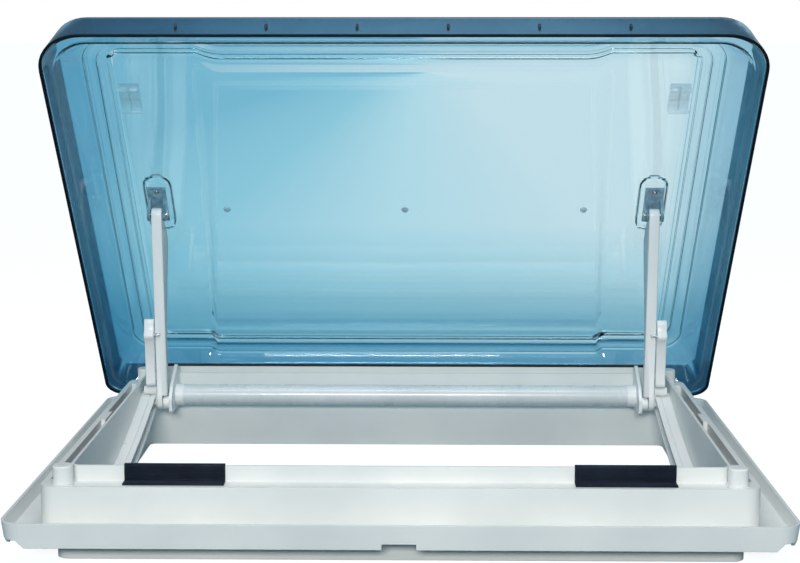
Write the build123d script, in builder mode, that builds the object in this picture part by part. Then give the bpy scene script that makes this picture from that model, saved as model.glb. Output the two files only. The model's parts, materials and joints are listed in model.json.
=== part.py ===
from build123d import *
from math import atan2, cos, degrees, hypot, radians, sin, tan
import os

# Roof and deck hatch: a moulded plastic frame for a cut-out, a double-walled acrylic lid hinged
# along its rear edge, and a U-shaped stay (two arms and a crossbar) whose feet run in side rails.
# Millimetres. X is across, +Y is towards the hinge, +Z is up. The origin is the centre of the
# cut-out on the roof's outer surface. The lid is modelled fully open.

# ---- driving dimensions: cut-out and frame ----
CUT_X = 700.0  # the roof cut-out
CUT_Y = 500.0
CUT_CLEARANCE = 2.0  # between the cut-out and the collar, each side
FLANGE = 45.0  # how far the tray reaches past the cut-out
TRAY_RADIUS = 22.0
RIM_HEIGHT = 26.0
RIM_WALL = 3.0
APRON_DRAFT = 8.0  # degrees that the apron leans in towards the roof
FLOOR_UNDER = 8.0  # underside of the tray floor, room for the roof seal
WALL = 3.0
COLLAR_DEPTH = 24.0
COLLAR_RADIUS = 14.0
CURB_MARGIN_X = 35.0  # tray edge to curb
CURB_MARGIN_Y = 31.0
CURB_HEIGHT = 55.0
CURB_RADIUS = 15.0
OPENING_MARGIN_X = 17.0  # collar face to the clear opening
OPENING_MARGIN_Y = 15.0
OPENING_RADIUS = 8.0
CHANNEL_WIDTH = 20.0
CHANNEL_DEPTH = 15.0
DECK_RECESS = 1.5
DECK_LIP = 6.0
SCALLOP_RADIUS = 26.0
DRAIN_WIDTH = 34.0
DRAIN_HEIGHT = 6.0
BOSS_LENGTH = 12.0
BOSS_HOLE_RADIUS = 1.6
BOSS_HOLE_DEPTH = 28.0
BOSS_Y = 170.0  # side bosses, from the centre
BOSS_X = 220.0  # front and rear bosses, from the centre
UPSTAND_HALF = 312.0
UPSTAND_INSET = 18.0  # rear upstand's face, behind curb face
TAB_LENGTH = 43.0
TAB_Y = 51.0
TAB_REACH = 5.0
CAP_SIZE = 20.0
CAP_DROP = 7.5  # a corner cap's top below the closed pane
PAD_LENGTH = 102.0
PAD_X = 227.0
PAD_THICKNESS = 2.0
PAD_TOE = 16.0
PAD_CLEARANCE = 1.0  # from a pad to the closed pane's sunk panel
SEAL_WIDTH = 22.0
STRIP_HEIGHT = 5.0  # channel seals: a flat strip with a bulb along its inner edge
BULB_RADIUS = 3.0
SEAL_END_GAP = 6.0
REAR_SEAL_WIDTH = 5.0
REAR_SEAL_HEIGHT = 2.8
REAR_SEAL_GAP = 1.7  # from the rear seal to the closed pane

# ---- driving dimensions: lid ----
LID_OVERHANG = 5.0  # lid past the tray, each side
LID_RADIUS = 28.0
LID_GAP = 3.0  # between the closed lid and the tray rim
OPEN_ANGLE = 52.2  # degrees
DOME_WALL = 3.0
DOME_UPRIGHT = 16.0  # upright part of the dome's skirt
DOME_DRAFT = 10.0
DOME_SHOULDER = 24.0
TRIM_HEIGHT = 2.0
TRIM_WIDTH = 6.0
PANE_HEIGHT = 52.0  # underside of the inner pane above the lid's rim
PANE_SHEET = 3.0
PANE_GAP = 1.0  # between the pane's edge and the dome
PANE_FLANGE = 10.0
PANE_SLOPE_RUN = 31.0
PANEL_INSET_X = 110.0  # sunk panel, from the pane's flat edge
PANEL_INSET_Y = 33.0
PANEL_SINK = 8.0
PANEL_RADIUS = 30.0
POCKET_WIDTH = 34.0
POCKET_FRONT = 50.0
POCKET_REAR = 35.0
POCKET_DEPTH = 5.0
POCKET_GAP = 1.0  # from a pocket's back to the dome
CLIP_INSET_X = 39.0  # from the edge of the pane's flat
CLIP_INSET_Y = 82.0
CLIP_WIDTH = 24.0
CLIP_LENGTH = 38.0
CLIP_REACH = 12.0
PLUG_SPACING = 218.0
PLUG_RADIUS = 7.0
PLUG_STEP = 1.5
SPACER_COUNT = 6
SPACER_PITCH = 99.0

# ---- driving dimensions: hinge ----
HINGE_DROP = 5.0  # axis below the tray rim's top
KNUCKLE_RADIUS = 4.0
KNUCKLE_GAP = 0.5  # knuckle to tray wall
LEAF = 2.0
HINGE_LENGTH = 640.0
LAND_BITE = 0.3  # how far the hinge's land runs into the leaning apron
KNUCKLE_COUNT = 7
KNUCKLE_SPACE = 0.6
HINGE_PIN_RADIUS = 1.95
RUNNING = 0.05  # radial running clearance of every pin

# ---- driving dimensions: stay ----
PIVOT_Y = 5.0  # arm pivot in the lid, from the lid's middle
PIVOT_DROP = 17.0  # arm pivot below the pocket's floor
FOOT_Y = 173.0  # arm foot with the lid open
FOOT_Z = 44.0
STAY_RATIO = 1.45  # degrees that the arms turn for each degree of the lid
ARM_INSET = 27.0  # from the opening's side to the middle of an arm
ARM_THICKNESS = 13.0
ARM_HALF_DEPTH = 8.0
GUSSET = 38.0
GUSSET_SHEET = 3.0
GUSSET_END = 150.0
PIN_RADIUS = 2.95
PIN_HEAD = 1.5
BRACKET_BASE = 3.0
BRACKET_LENGTH = 54.0
EAR = 4.0
EAR_GAP = 1.0
TONGUE = 6.5
TONGUE_GAP = 1.0
SHOE_RADIUS = 6.8
SHOE_CLEARANCE = 0.6
SHOE_LENGTH = 12.0
RAIL_SHEET = 2.5
RAIL_LINE = 1.0  # width and depth of the line along a rail's top
WALL_GAP = 0.3  # between the rails' ends and the frame's front wall
ROLLER_RADIUS = 5.5
ROLLER_CLEARANCE = 0.8
LINK_SHEET = 1.4
LINK_GAP = 0.7
LINK_CLEARANCE = 0.4  # between a slider's link and the rail
PLATE = 4.0
PLATE_GAP = 1.5
BAR_DIAMETER = 26.0
BAR_WALL = 2.0
BAR_BACK = 32.0  # bar's axis behind the foot
BAR_UP = 3.5
BAR_CAP = 11.0
BAR_SPIGOT = 10.0
LEVER_LENGTH = 85.0
LEVER_TOP = 130.0  # below the arm pivot
LEVER_PIVOT = 20.0  # below the lever's top
LEVER_THICKNESS = 11.0
LEVER_DEPTH = 9.0
LEVER_OFFSET = 8.5
LEVER_GAP = 2.5
LEVER_PIN_RADIUS = 1.95
SCREW_RADIUS = 1.5
SCREW_HEAD = 3.0
SCREW_HEAD_HEIGHT = 1.2
RAIL_SCREWS = 4
TRACK_STEPS = 9  # points along the feet's path

# ---- worked out from the values above ----
collar_x = CUT_X - 2 * CUT_CLEARANCE
collar_y = CUT_Y - 2 * CUT_CLEARANCE
tray_x = CUT_X + 2 * FLANGE
tray_y = CUT_Y + 2 * FLANGE
curb_x = tray_x - 2 * CURB_MARGIN_X
curb_y = tray_y - 2 * CURB_MARGIN_Y
open_x = collar_x - 2 * OPENING_MARGIN_X
open_y = collar_y - 2 * OPENING_MARGIN_Y
floor_top = FLOOR_UNDER + WALL
lean = tan(radians(APRON_DRAFT))
lid_x = tray_x + 2 * LID_OVERHANG
lid_y = tray_y + 2 * LID_OVERHANG
lid_rim = RIM_HEIGHT + LID_GAP
dome_height = PANE_HEIGHT + POCKET_DEPTH + PANE_SHEET + POCKET_GAP + DOME_WALL
closed_pane = lid_rim + PANE_HEIGHT  # the pane's underside with the lid closed
inner_wall_top = closed_pane - PANEL_SINK - PAD_CLEARANCE - PAD_THICKNESS
upstand_top = closed_pane - REAR_SEAL_GAP - REAR_SEAL_HEIGHT
cap_rise = closed_pane - CAP_DROP - CURB_HEIGHT
pivot_height = PANE_HEIGHT + POCKET_DEPTH - PIVOT_DROP
hinge_y = tray_y / 2 + KNUCKLE_GAP + KNUCKLE_RADIUS
hinge_z = RIM_HEIGHT - HINGE_DROP
channel_floor = CURB_HEIGHT - CHANNEL_DEPTH
inner_x = open_x / 2 + WALL  # outer face of the inner wall
inner_y = open_y / 2 + WALL


def turned(y, z, angle):
    """A point of the YZ plane turned about the hinge, by degrees; closing is positive."""
    a = radians(angle)
    dy, dz = y - hinge_y, z - hinge_z
    return hinge_y + dy * cos(a) - dz * sin(a), hinge_z + dy * sin(a) + dz * cos(a)


lid_origin = turned(0, lid_rim, -OPEN_ANGLE)
LID = Plane(
    origin=(0, *lid_origin),
    x_dir=(1, 0, 0),
    z_dir=(0, sin(radians(OPEN_ANGLE)), cos(radians(OPEN_ANGLE))),
)


def lid_side(x):
    """A plane across the lid at x: its x is the lid's y, its y the height above the rim."""
    return Plane(origin=LID.from_local_coords((x, 0, 0)), x_dir=LID.y_dir, z_dir=(1, 0, 0))


pivot_y, pivot_z = turned(PIVOT_Y, lid_rim + pivot_height, -OPEN_ANGLE)
arm_length = hypot(FOOT_Y - pivot_y, FOOT_Z - pivot_z)
arm_lean = degrees(atan2(FOOT_Y - pivot_y, pivot_z - FOOT_Z))  # foot behind the pivot


def arm_side(x):
    """A plane along the arms at x: its origin is the pivot and its y runs up the arm."""
    a = radians(arm_lean)
    return Plane(origin=(x, pivot_y, pivot_z), x_dir=(0, cos(a), sin(a)), z_dir=(1, 0, 0))


def foot(angle):
    """Where the arms' feet are when the lid has closed by angle degrees."""
    y, z = turned(pivot_y, pivot_z, angle)
    a = radians(arm_lean - STAY_RATIO * angle)
    return y + arm_length * sin(a), z - arm_length * cos(a)


def track(offset, start, end):
    """Points beside the feet's path, offset upwards, and running start and end mm past it."""
    points = []
    for i in range(TRACK_STEPS):
        angle = OPEN_ANGLE * i / (TRACK_STEPS - 1)
        (y0, z0), (y1, z1) = foot(angle - 0.05), foot(angle + 0.05)
        run = hypot(y1 - y0, z1 - z0)
        ty, tz = (y0 - y1) / run, (z0 - z1) / run  # towards the rear
        shift = start if i == 0 else -end if i == TRACK_STEPS - 1 else 0.0
        y, z = foot(angle)
        points.append((y + ty * shift - tz * offset, z + tz * shift + ty * offset))
    return points


groove = SHOE_RADIUS + SHOE_CLEARANCE
arm_x = open_x / 2 - ARM_INSET
arm_inner = arm_x - ARM_THICKNESS / 2
arm_outer = arm_x + ARM_THICKNESS / 2
link_inner = arm_outer + LINK_GAP
rail_inner = link_inner + LINK_SHEET + LINK_CLEARANCE
rail_width = open_x / 2 - rail_inner
plate_outer = arm_inner - PLATE_GAP
plate_inner = plate_outer - PLATE
bar_y = FOOT_Y + BAR_BACK
bar_z = FOOT_Z + BAR_UP
lever_inner = arm_outer + LEVER_GAP
bar_half = plate_inner - BAR_CAP
SIDES = (("left", -1), ("right", 1))

os.makedirs("parts", exist_ok=True)


def save(piece, name):
    """Labels a finished piece and writes it to its own file."""
    piece.part.label = name
    export_step(piece.part, f"parts/{name}.step")


# ---- frame moulding: tray, curb, collar ----
drop = RIM_HEIGHT * lean  # how far the apron's foot is in from its rim
with BuildPart() as base_frame:
    with BuildSketch(Plane.XY):
        RectangleRounded(tray_x - 2 * drop, tray_y - 2 * drop, TRAY_RADIUS - drop)
    extrude(amount=RIM_HEIGHT, taper=-APRON_DRAFT)
    # the tray inside its rim, then the recess under the floor
    rise = RIM_HEIGHT - floor_top
    inset = RIM_WALL + rise * lean
    with BuildSketch(Plane.XY.offset(floor_top)):
        RectangleRounded(tray_x - 2 * inset, tray_y - 2 * inset, TRAY_RADIUS - inset)
    extrude(amount=rise, taper=-APRON_DRAFT, mode=Mode.SUBTRACT)
    under = RIM_WALL + drop
    with BuildSketch(Plane.XY):
        RectangleRounded(tray_x - 2 * under, tray_y - 2 * under, TRAY_RADIUS - under)
    extrude(amount=FLOOR_UNDER, mode=Mode.SUBTRACT)
    # curb, inner wall and collar as blocks
    with BuildSketch(Plane.XY.offset(FLOOR_UNDER)):
        RectangleRounded(curb_x, curb_y, CURB_RADIUS)
    extrude(amount=CURB_HEIGHT - FLOOR_UNDER)
    with BuildSketch(Plane.XY.offset(-COLLAR_DEPTH)):
        RectangleRounded(collar_x, collar_y, COLLAR_RADIUS)
    extrude(amount=COLLAR_DEPTH + FLOOR_UNDER)
    with BuildSketch(Plane.XY.offset(CURB_HEIGHT)):
        RectangleRounded(2 * inner_x, 2 * inner_y, OPENING_RADIUS + WALL)
    extrude(amount=inner_wall_top - CURB_HEIGHT)
    # rear upstand that carries the rear seal
    with BuildSketch(Plane.XY.offset(CURB_HEIGHT)):
        with Locations((0, curb_y / 2 - UPSTAND_INSET)):
            Rectangle(2 * UPSTAND_HALF, WALL)
    extrude(amount=upstand_top - CURB_HEIGHT)
    # hollow between the inner wall and the collar, and inside the curb
    with BuildSketch(Plane.XY.offset(-COLLAR_DEPTH)):
        RectangleRounded(collar_x - 2 * WALL, collar_y - 2 * WALL, COLLAR_RADIUS - WALL)
        RectangleRounded(2 * inner_x, 2 * inner_y, OPENING_RADIUS + WALL, mode=Mode.SUBTRACT)
    extrude(amount=COLLAR_DEPTH + floor_top, mode=Mode.SUBTRACT)
    with BuildSketch(Plane.XY.offset(floor_top)):
        RectangleRounded(curb_x - 2 * WALL, curb_y - 2 * WALL, CURB_RADIUS - WALL)
        RectangleRounded(2 * inner_x, 2 * inner_y, OPENING_RADIUS + WALL, mode=Mode.SUBTRACT)
    extrude(amount=channel_floor - WALL - floor_top, mode=Mode.SUBTRACT)
    # the hollow goes on up under the front and rear decks
    with BuildSketch(Plane.XY.offset(channel_floor - WALL)):
        for end in (-1, 1):
            with Locations((0, end * (inner_y + curb_y / 2 - WALL) / 2)):
                Rectangle(open_x, curb_y / 2 - WALL - inner_y)
    extrude(amount=CHANNEL_DEPTH - DECK_RECESS, mode=Mode.SUBTRACT)
    # seal channels along the sides, with a tab left in each
    with BuildSketch(Plane.XY.offset(channel_floor)):
        for side in (-1, 1):
            with Locations((side * (inner_x + CHANNEL_WIDTH / 2), 0)):
                Rectangle(CHANNEL_WIDTH, open_y)
            with Locations((side * (inner_x + CHANNEL_WIDTH - TAB_REACH / 2), TAB_Y)):
                Rectangle(TAB_REACH, TAB_LENGTH, mode=Mode.SUBTRACT)
    extrude(amount=CHANNEL_DEPTH, mode=Mode.SUBTRACT)
    # front and rear decks stepped down behind their lip, with a V-shaped drain in the front lip
    with BuildSketch(Plane.XY.offset(CURB_HEIGHT)):
        with Locations((0, -(curb_y / 2 - DECK_LIP + inner_y) / 2)):
            Rectangle(open_x - 8, curb_y / 2 - DECK_LIP - inner_y)
    extrude(amount=-DECK_RECESS, mode=Mode.SUBTRACT)
    with BuildSketch(Plane.XZ.offset(curb_y / 2 - DECK_LIP - 1)):
        with BuildLine():
            Polyline((-3, CURB_HEIGHT), (3, CURB_HEIGHT), (0, CURB_HEIGHT - DECK_RECESS), close=True)
        make_face()
    extrude(amount=DECK_LIP + 1, mode=Mode.SUBTRACT)
    # clear opening
    with BuildSketch(Plane.XY.offset(-COLLAR_DEPTH)):
        RectangleRounded(open_x, open_y, OPENING_RADIUS)
    extrude(amount=COLLAR_DEPTH + inner_wall_top, mode=Mode.SUBTRACT)
    # scallops under the four corners of the apron, and the drain slot in its front
    with BuildSketch(Plane.XY):
        for x in (-tray_x / 2, tray_x / 2):
            for y in (-tray_y / 2, tray_y / 2):
                with Locations((x, y)):
                    Circle(SCALLOP_RADIUS)
    extrude(amount=FLOOR_UNDER, taper=45, mode=Mode.SUBTRACT)
    with BuildSketch(Plane.XZ.offset(tray_y / 2 - under - 1)):
        with Locations((0, DRAIN_HEIGHT / 2)):
            Rectangle(DRAIN_WIDTH, DRAIN_HEIGHT)
    extrude(amount=under + 2, mode=Mode.SUBTRACT)
    # screw bosses in the collar for the inside trim frame
    with BuildSketch(Plane.XY.offset(-COLLAR_DEPTH)):
        for side in (-1, 1):
            for y in (-BOSS_Y, BOSS_Y):
                with Locations((side * (inner_x + collar_x / 2 - WALL) / 2, y)):
                    Rectangle(collar_x / 2 - inner_x, BOSS_LENGTH)
            for x in (-BOSS_X, BOSS_X):
                with Locations((x, side * (inner_y + collar_y / 2 - WALL) / 2)):
                    Rectangle(BOSS_LENGTH, collar_y / 2 - inner_y)
    extrude(amount=COLLAR_DEPTH + FLOOR_UNDER)
    with BuildSketch(Plane.XY.offset(-COLLAR_DEPTH)):
        for side in (-1, 1):
            with Locations((side * (inner_x + collar_x / 2 - WALL) / 2, -BOSS_Y)):
                Circle(BOSS_HOLE_RADIUS)
            with Locations((side * (inner_x + collar_x / 2 - WALL) / 2, BOSS_Y)):
                Circle(BOSS_HOLE_RADIUS)
            with Locations((-BOSS_X, side * (inner_y + collar_y / 2 - WALL) / 2)):
                Circle(BOSS_HOLE_RADIUS)
            with Locations((BOSS_X, side * (inner_y + collar_y / 2 - WALL) / 2)):
                Circle(BOSS_HOLE_RADIUS)
    extrude(amount=BOSS_HOLE_DEPTH, mode=Mode.SUBTRACT)
    # flat land for the hinge on the rear apron
    land_low = FLOOR_UNDER
    land_in = (RIM_HEIGHT - land_low) * lean + LAND_BITE
    with BuildSketch(Plane.XY.offset(land_low)):
        with Locations((0, tray_y / 2 - land_in / 2)):
            Rectangle(HINGE_LENGTH + 10, land_in)
    extrude(amount=RIM_HEIGHT - land_low - 1)
save(base_frame, "base_frame")

# ---- seals on the frame ----
with BuildPart() as roof_seal:
    with BuildSketch(Plane.XY):
        RectangleRounded(CUT_X + 2 * SEAL_WIDTH, CUT_Y + 2 * SEAL_WIDTH, TRAY_RADIUS)
        RectangleRounded(CUT_X, CUT_Y, COLLAR_RADIUS + CUT_CLEARANCE, mode=Mode.SUBTRACT)
    extrude(amount=FLOOR_UNDER)
save(roof_seal, "roof_seal")

for name, side in SIDES:
    with BuildPart() as channel_seal:
        strip = CHANNEL_WIDTH - TAB_REACH - 2
        with BuildSketch(Plane.XZ.offset(-open_y / 2 + SEAL_END_GAP)):
            with Locations((side * (inner_x + 1 + strip / 2), channel_floor + STRIP_HEIGHT / 2)):
                RectangleRounded(strip, STRIP_HEIGHT, STRIP_HEIGHT * 0.3)
            with Locations((side * (inner_x + 1 + BULB_RADIUS), channel_floor + STRIP_HEIGHT + 1)):
                Circle(BULB_RADIUS)
        extrude(amount=open_y - 2 * SEAL_END_GAP)
    save(channel_seal, f"channel_seal_{name}")

with BuildPart() as rear_seal:
    with BuildSketch(Plane.YZ.offset(-UPSTAND_HALF)):
        with Locations((curb_y / 2 - UPSTAND_INSET, upstand_top + REAR_SEAL_HEIGHT / 2)):
            RectangleRounded(REAR_SEAL_WIDTH, REAR_SEAL_HEIGHT, REAR_SEAL_HEIGHT * 0.35)
    extrude(amount=2 * UPSTAND_HALF)
save(rear_seal, "rear_seal")

# ---- corner caps, one on each corner of the curb ----
for end_name, end in (("front", -1), ("rear", 1)):
    for name, side in SIDES:
        with BuildPart() as corner_cap:
            with BuildSketch(Plane.XY.offset(CURB_HEIGHT)):
                with Locations((side * (inner_x + 4), end * (inner_y + 1 + CAP_SIZE / 2))):
                    RectangleRounded(CAP_SIZE, CAP_SIZE, CAP_SIZE * 0.42)
            extrude(amount=cap_rise)
            fillet(corner_cap.faces().sort_by(Axis.Z)[-1].edges(), 1.5)
        save(corner_cap, f"corner_cap_{end_name}_{name}")

# ---- rubber pads folded over the front wall ----
for name, side in SIDES:
    with BuildPart() as pad:
        deck = CURB_HEIGHT - DECK_RECESS
        with BuildSketch(Plane.YZ.offset(side * PAD_X - PAD_LENGTH / 2)):
            with BuildLine():
                Polyline(
                    (-open_y / 2, inner_wall_top),
                    (-open_y / 2, inner_wall_top + PAD_THICKNESS),
                    (-inner_y - PAD_THICKNESS, inner_wall_top + PAD_THICKNESS),
                    (-inner_y - PAD_THICKNESS, deck + PAD_THICKNESS),
                    (-inner_y - PAD_TOE, deck + PAD_THICKNESS),
                    (-inner_y - PAD_TOE, deck),
                    (-inner_y, deck),
                    (-inner_y, inner_wall_top),
                    close=True,
                )
            make_face()
        extrude(amount=PAD_LENGTH)
    save(pad, f"pad_{name}")

# ---- side rails: channels that follow the path of the stay's feet ----
rail_half = groove + RAIL_SHEET
rail_rear = groove + RAIL_SHEET + 1
rail_front = groove + RAIL_SHEET + 1
screw_angles = [OPEN_ANGLE * (i + 0.5) / RAIL_SCREWS for i in range(RAIL_SCREWS)]


def track_band(low, high, rear, front):
    """The band between two offsets of the feet's path, as a sketch for a side plane."""
    upper, lower = track(high, rear, front), track(low, rear, front)
    with BuildSketch() as band:
        with BuildLine():
            Spline(*upper)
            Line(upper[-1], lower[-1])
            Spline(*reversed(lower))
            Line(lower[0], upper[0])
        make_face()
    return band.sketch


rail_band = track_band(-rail_half, rail_half, rail_rear, rail_front)
groove_band = track_band(-groove, groove, groove, rail_front + 1)
line_band = track_band(rail_half - RAIL_LINE, rail_half + 1, rail_rear + 1, rail_front + 1)
for name, side in SIDES:
    web = open_x / 2 - RAIL_SHEET
    with BuildPart() as rail:
        with BuildSketch(Plane.YZ.offset(side * open_x / 2)):
            add(rail_band)
        extrude(amount=-side * rail_width)
        with BuildSketch(Plane.YZ.offset(side * web)):
            add(groove_band)
        extrude(amount=-side * rail_width, mode=Mode.SUBTRACT)
        # line along the top, a third in from the inner edge
        with BuildSketch(Plane.YZ.offset(side * (rail_inner + rail_width / 3))):
            add(line_band)
        extrude(amount=side * RAIL_LINE, mode=Mode.SUBTRACT)
        for angle in screw_angles:
            with BuildSketch(Plane.YZ.offset(side * web)):
                with Locations(foot(angle)):
                    Circle(SCREW_RADIUS + RUNNING)
            extrude(amount=side * RAIL_SHEET, mode=Mode.SUBTRACT)
            with BuildSketch(Plane.YZ.offset(side * web)):
                with Locations(foot(angle)):
                    Circle(SCREW_HEAD + RUNNING)
            extrude(amount=side * SCREW_HEAD_HEIGHT, mode=Mode.SUBTRACT)
        # the front end is cut to the frame's front wall and its corner
        with BuildSketch(Plane.XY.offset(-COLLAR_DEPTH)):
            RectangleRounded(open_x, open_y - 2 * WALL_GAP, OPENING_RADIUS)
        extrude(amount=COLLAR_DEPTH + inner_wall_top, mode=Mode.INTERSECT)
    save(rail, f"rail_{name}")

with BuildPart() as rail_screws:
    for _, side in SIDES:
        for angle in screw_angles:
            with BuildSketch(Plane.YZ.offset(side * (open_x / 2 - RAIL_SHEET))):
                with Locations(foot(angle)):
                    Circle(SCREW_HEAD)
            extrude(amount=side * SCREW_HEAD_HEIGHT)
            with BuildSketch(Plane.YZ.offset(side * (open_x / 2 - RAIL_SHEET))):
                with Locations(foot(angle)):
                    Circle(SCREW_RADIUS)
            extrude(amount=side * RAIL_SHEET)
save(rail_screws, "rail_screws")

# ---- hinge: two leaves with knuckles in turn, and one pin ----
knuckle = HINGE_LENGTH / KNUCKLE_COUNT


def knuckle_start(i):
    """Where knuckle i begins along the hinge."""
    return -HINGE_LENGTH / 2 + i * knuckle + KNUCKLE_SPACE / 2


screw_x = [-HINGE_LENGTH / 2 + knuckle * (i + 0.5) for i in range(0, KNUCKLE_COUNT, 2)]
leaf_screw_z = (land_low + hinge_z) / 2 - 2
with BuildPart() as hinge_base_leaf:
    for i in range(0, KNUCKLE_COUNT, 2):
        with BuildSketch(Plane.YZ.offset(knuckle_start(i))):
            with Locations((tray_y / 2 + LEAF / 2, (land_low + hinge_z) / 2)):
                Rectangle(LEAF, hinge_z - land_low)
            with Locations((hinge_y, hinge_z)):
                Circle(KNUCKLE_RADIUS)
        extrude(amount=knuckle - KNUCKLE_SPACE)
    with BuildSketch(Plane.YZ.offset(-HINGE_LENGTH / 2)):
        with Locations((tray_y / 2 + LEAF / 2, land_low + 3)):
            Rectangle(LEAF, 6)
    extrude(amount=HINGE_LENGTH)
    with BuildSketch(Plane.YZ.offset(-HINGE_LENGTH / 2)):
        with Locations((hinge_y, hinge_z)):
            Circle(HINGE_PIN_RADIUS + RUNNING)
    extrude(amount=HINGE_LENGTH, mode=Mode.SUBTRACT)
    with BuildSketch(Plane.XZ.offset(-tray_y / 2 - LEAF)):
        for x in screw_x:
            with Locations((x, leaf_screw_z)):
                Circle(SCREW_RADIUS + RUNNING)
    extrude(amount=LEAF, mode=Mode.SUBTRACT)
save(hinge_base_leaf, "hinge_base_leaf")

with BuildPart() as hinge_screws:
    with BuildSketch(Plane.XZ.offset(-tray_y / 2 - LEAF)):
        for x in screw_x:
            with Locations((x, leaf_screw_z)):
                Circle(SCREW_RADIUS)
    extrude(amount=LEAF)
    with BuildSketch(Plane.XZ.offset(-tray_y / 2 - LEAF)):
        for x in screw_x:
            with Locations((x, leaf_screw_z)):
                Circle(SCREW_HEAD)
    extrude(amount=-SCREW_HEAD_HEIGHT)
save(hinge_screws, "hinge_screws")

with BuildPart() as hinge_pin:
    with BuildSketch(Plane.YZ.offset(-HINGE_LENGTH / 2)):
        with Locations((hinge_y, hinge_z)):
            Circle(HINGE_PIN_RADIUS)
    extrude(amount=HINGE_LENGTH)
save(hinge_pin, "hinge_pin")

with BuildPart() as hinge_lid_leaf:
    with BuildSketch(lid_side(-HINGE_LENGTH / 2)):
        with Locations((lid_y / 2 + LEAF / 2, DOME_UPRIGHT / 2)):
            Rectangle(LEAF, DOME_UPRIGHT)
    extrude(amount=HINGE_LENGTH)
    for i in range(1, KNUCKLE_COUNT, 2):
        with BuildSketch(lid_side(knuckle_start(i))):
            with Locations((lid_y / 2 + LEAF / 2, (hinge_z - lid_rim) / 2 + 1)):
                Rectangle(LEAF, lid_rim - hinge_z + 2)
            with Locations((hinge_y, hinge_z - lid_rim)):
                Circle(KNUCKLE_RADIUS)
        extrude(amount=knuckle - KNUCKLE_SPACE)
    with BuildSketch(lid_side(-HINGE_LENGTH / 2)):
        with Locations((hinge_y, hinge_z - lid_rim)):
            Circle(HINGE_PIN_RADIUS + RUNNING)
    extrude(amount=HINGE_LENGTH, mode=Mode.SUBTRACT)
save(hinge_lid_leaf, "hinge_lid_leaf")

# ---- lid: edge trim, outer dome, inner pane ----
with BuildPart() as rim_trim:
    with BuildSketch(LID):
        RectangleRounded(lid_x, lid_y, LID_RADIUS)
        RectangleRounded(
            lid_x - 2 * TRIM_WIDTH,
            lid_y - 2 * TRIM_WIDTH,
            LID_RADIUS - TRIM_WIDTH,
            mode=Mode.SUBTRACT,
        )
    extrude(amount=TRIM_HEIGHT)
save(rim_trim, "rim_trim")


def dome_shell(wall):
    """A block of the dome's shape, smaller all round by wall; its open side is the lid's rim."""
    with BuildPart() as block:
        with BuildSketch(LID.offset(TRIM_HEIGHT)):
            RectangleRounded(lid_x - 2 * wall, lid_y - 2 * wall, LID_RADIUS - wall)
        extrude(amount=DOME_UPRIGHT - TRIM_HEIGHT)
        with BuildSketch(LID.offset(DOME_UPRIGHT)):
            RectangleRounded(lid_x - 2 * wall, lid_y - 2 * wall, LID_RADIUS - wall)
        extrude(amount=dome_height - DOME_UPRIGHT - wall, taper=DOME_DRAFT)
        top = block.faces().sort_by(Axis((0, 0, 0), LID.z_dir))[-1]
        fillet(top.edges(), DOME_SHOULDER - wall)
    return block.part


outer_block = dome_shell(0)
inner_block = dome_shell(DOME_WALL)
with BuildPart() as outer_dome:
    add(outer_block)
    add(inner_block, mode=Mode.SUBTRACT)
save(outer_dome, "outer_dome")

pane_edge_x = lid_x - 2 * (DOME_WALL + PANE_GAP)
pane_edge_y = lid_y - 2 * (DOME_WALL + PANE_GAP)
pane_foot_x = pane_edge_x - 2 * PANE_FLANGE
pane_foot_y = pane_edge_y - 2 * PANE_FLANGE
pane_rise = PANE_HEIGHT + PANE_SHEET - TRIM_HEIGHT
pane_draft = degrees(atan2(PANE_SLOPE_RUN, pane_rise))
sheet_across = PANE_SHEET / cos(radians(pane_draft))
pane_radius = 1.6 * PANE_SLOPE_RUN  # more than the slope's run, so the flat keeps round corners
flat_x = pane_foot_x - 2 * PANE_SLOPE_RUN
flat_y = pane_foot_y - 2 * PANE_SLOPE_RUN
panel_x = flat_x - 2 * PANEL_INSET_X
panel_y = flat_y - 2 * PANEL_INSET_Y
pocket_y = PIVOT_Y + (POCKET_REAR - POCKET_FRONT) / 2
pocket_length = POCKET_FRONT + POCKET_REAR


def pockets(grow):
    """The outline of both pockets, larger all round by grow."""
    for _, side in SIDES:
        with Locations((side * arm_x, pocket_y)):
            RectangleRounded(POCKET_WIDTH + 2 * grow, pocket_length + 2 * grow, POCKET_WIDTH / 2 - 1)


with BuildPart() as inner_pane:
    with BuildSketch(LID.offset(TRIM_HEIGHT)):
        RectangleRounded(pane_edge_x, pane_edge_y, LID_RADIUS - DOME_WALL)
    extrude(amount=PANE_SHEET)
    with BuildSketch(LID.offset(TRIM_HEIGHT)):
        RectangleRounded(pane_foot_x, pane_foot_y, pane_radius)
    extrude(amount=pane_rise, taper=pane_draft)
    with BuildSketch(LID.offset(PANE_HEIGHT)):
        pockets(PANE_SHEET)
    extrude(amount=POCKET_DEPTH + PANE_SHEET)
    with BuildSketch(LID.offset(TRIM_HEIGHT)):
        RectangleRounded(
            pane_foot_x - 2 * sheet_across,
            pane_foot_y - 2 * sheet_across,
            pane_radius - PANE_SHEET,
        )
    extrude(amount=PANE_HEIGHT - TRIM_HEIGHT, taper=pane_draft, mode=Mode.SUBTRACT)
    with BuildSketch(LID.offset(PANE_HEIGHT)):
        pockets(0)
    extrude(amount=POCKET_DEPTH, mode=Mode.SUBTRACT)
    # the middle of the pane is sunk towards the inside
    with BuildSketch(LID.offset(PANE_HEIGHT - PANEL_SINK)):
        RectangleRounded(panel_x, panel_y, PANEL_RADIUS)
    extrude(amount=PANEL_SINK + PANE_SHEET, taper=-45)
    with BuildSketch(LID.offset(PANE_HEIGHT - PANEL_SINK + PANE_SHEET)):
        RectangleRounded(panel_x - 2, panel_y - 2, PANEL_RADIUS - 1)
    extrude(amount=PANEL_SINK + 1, taper=-45, mode=Mode.SUBTRACT)
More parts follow.
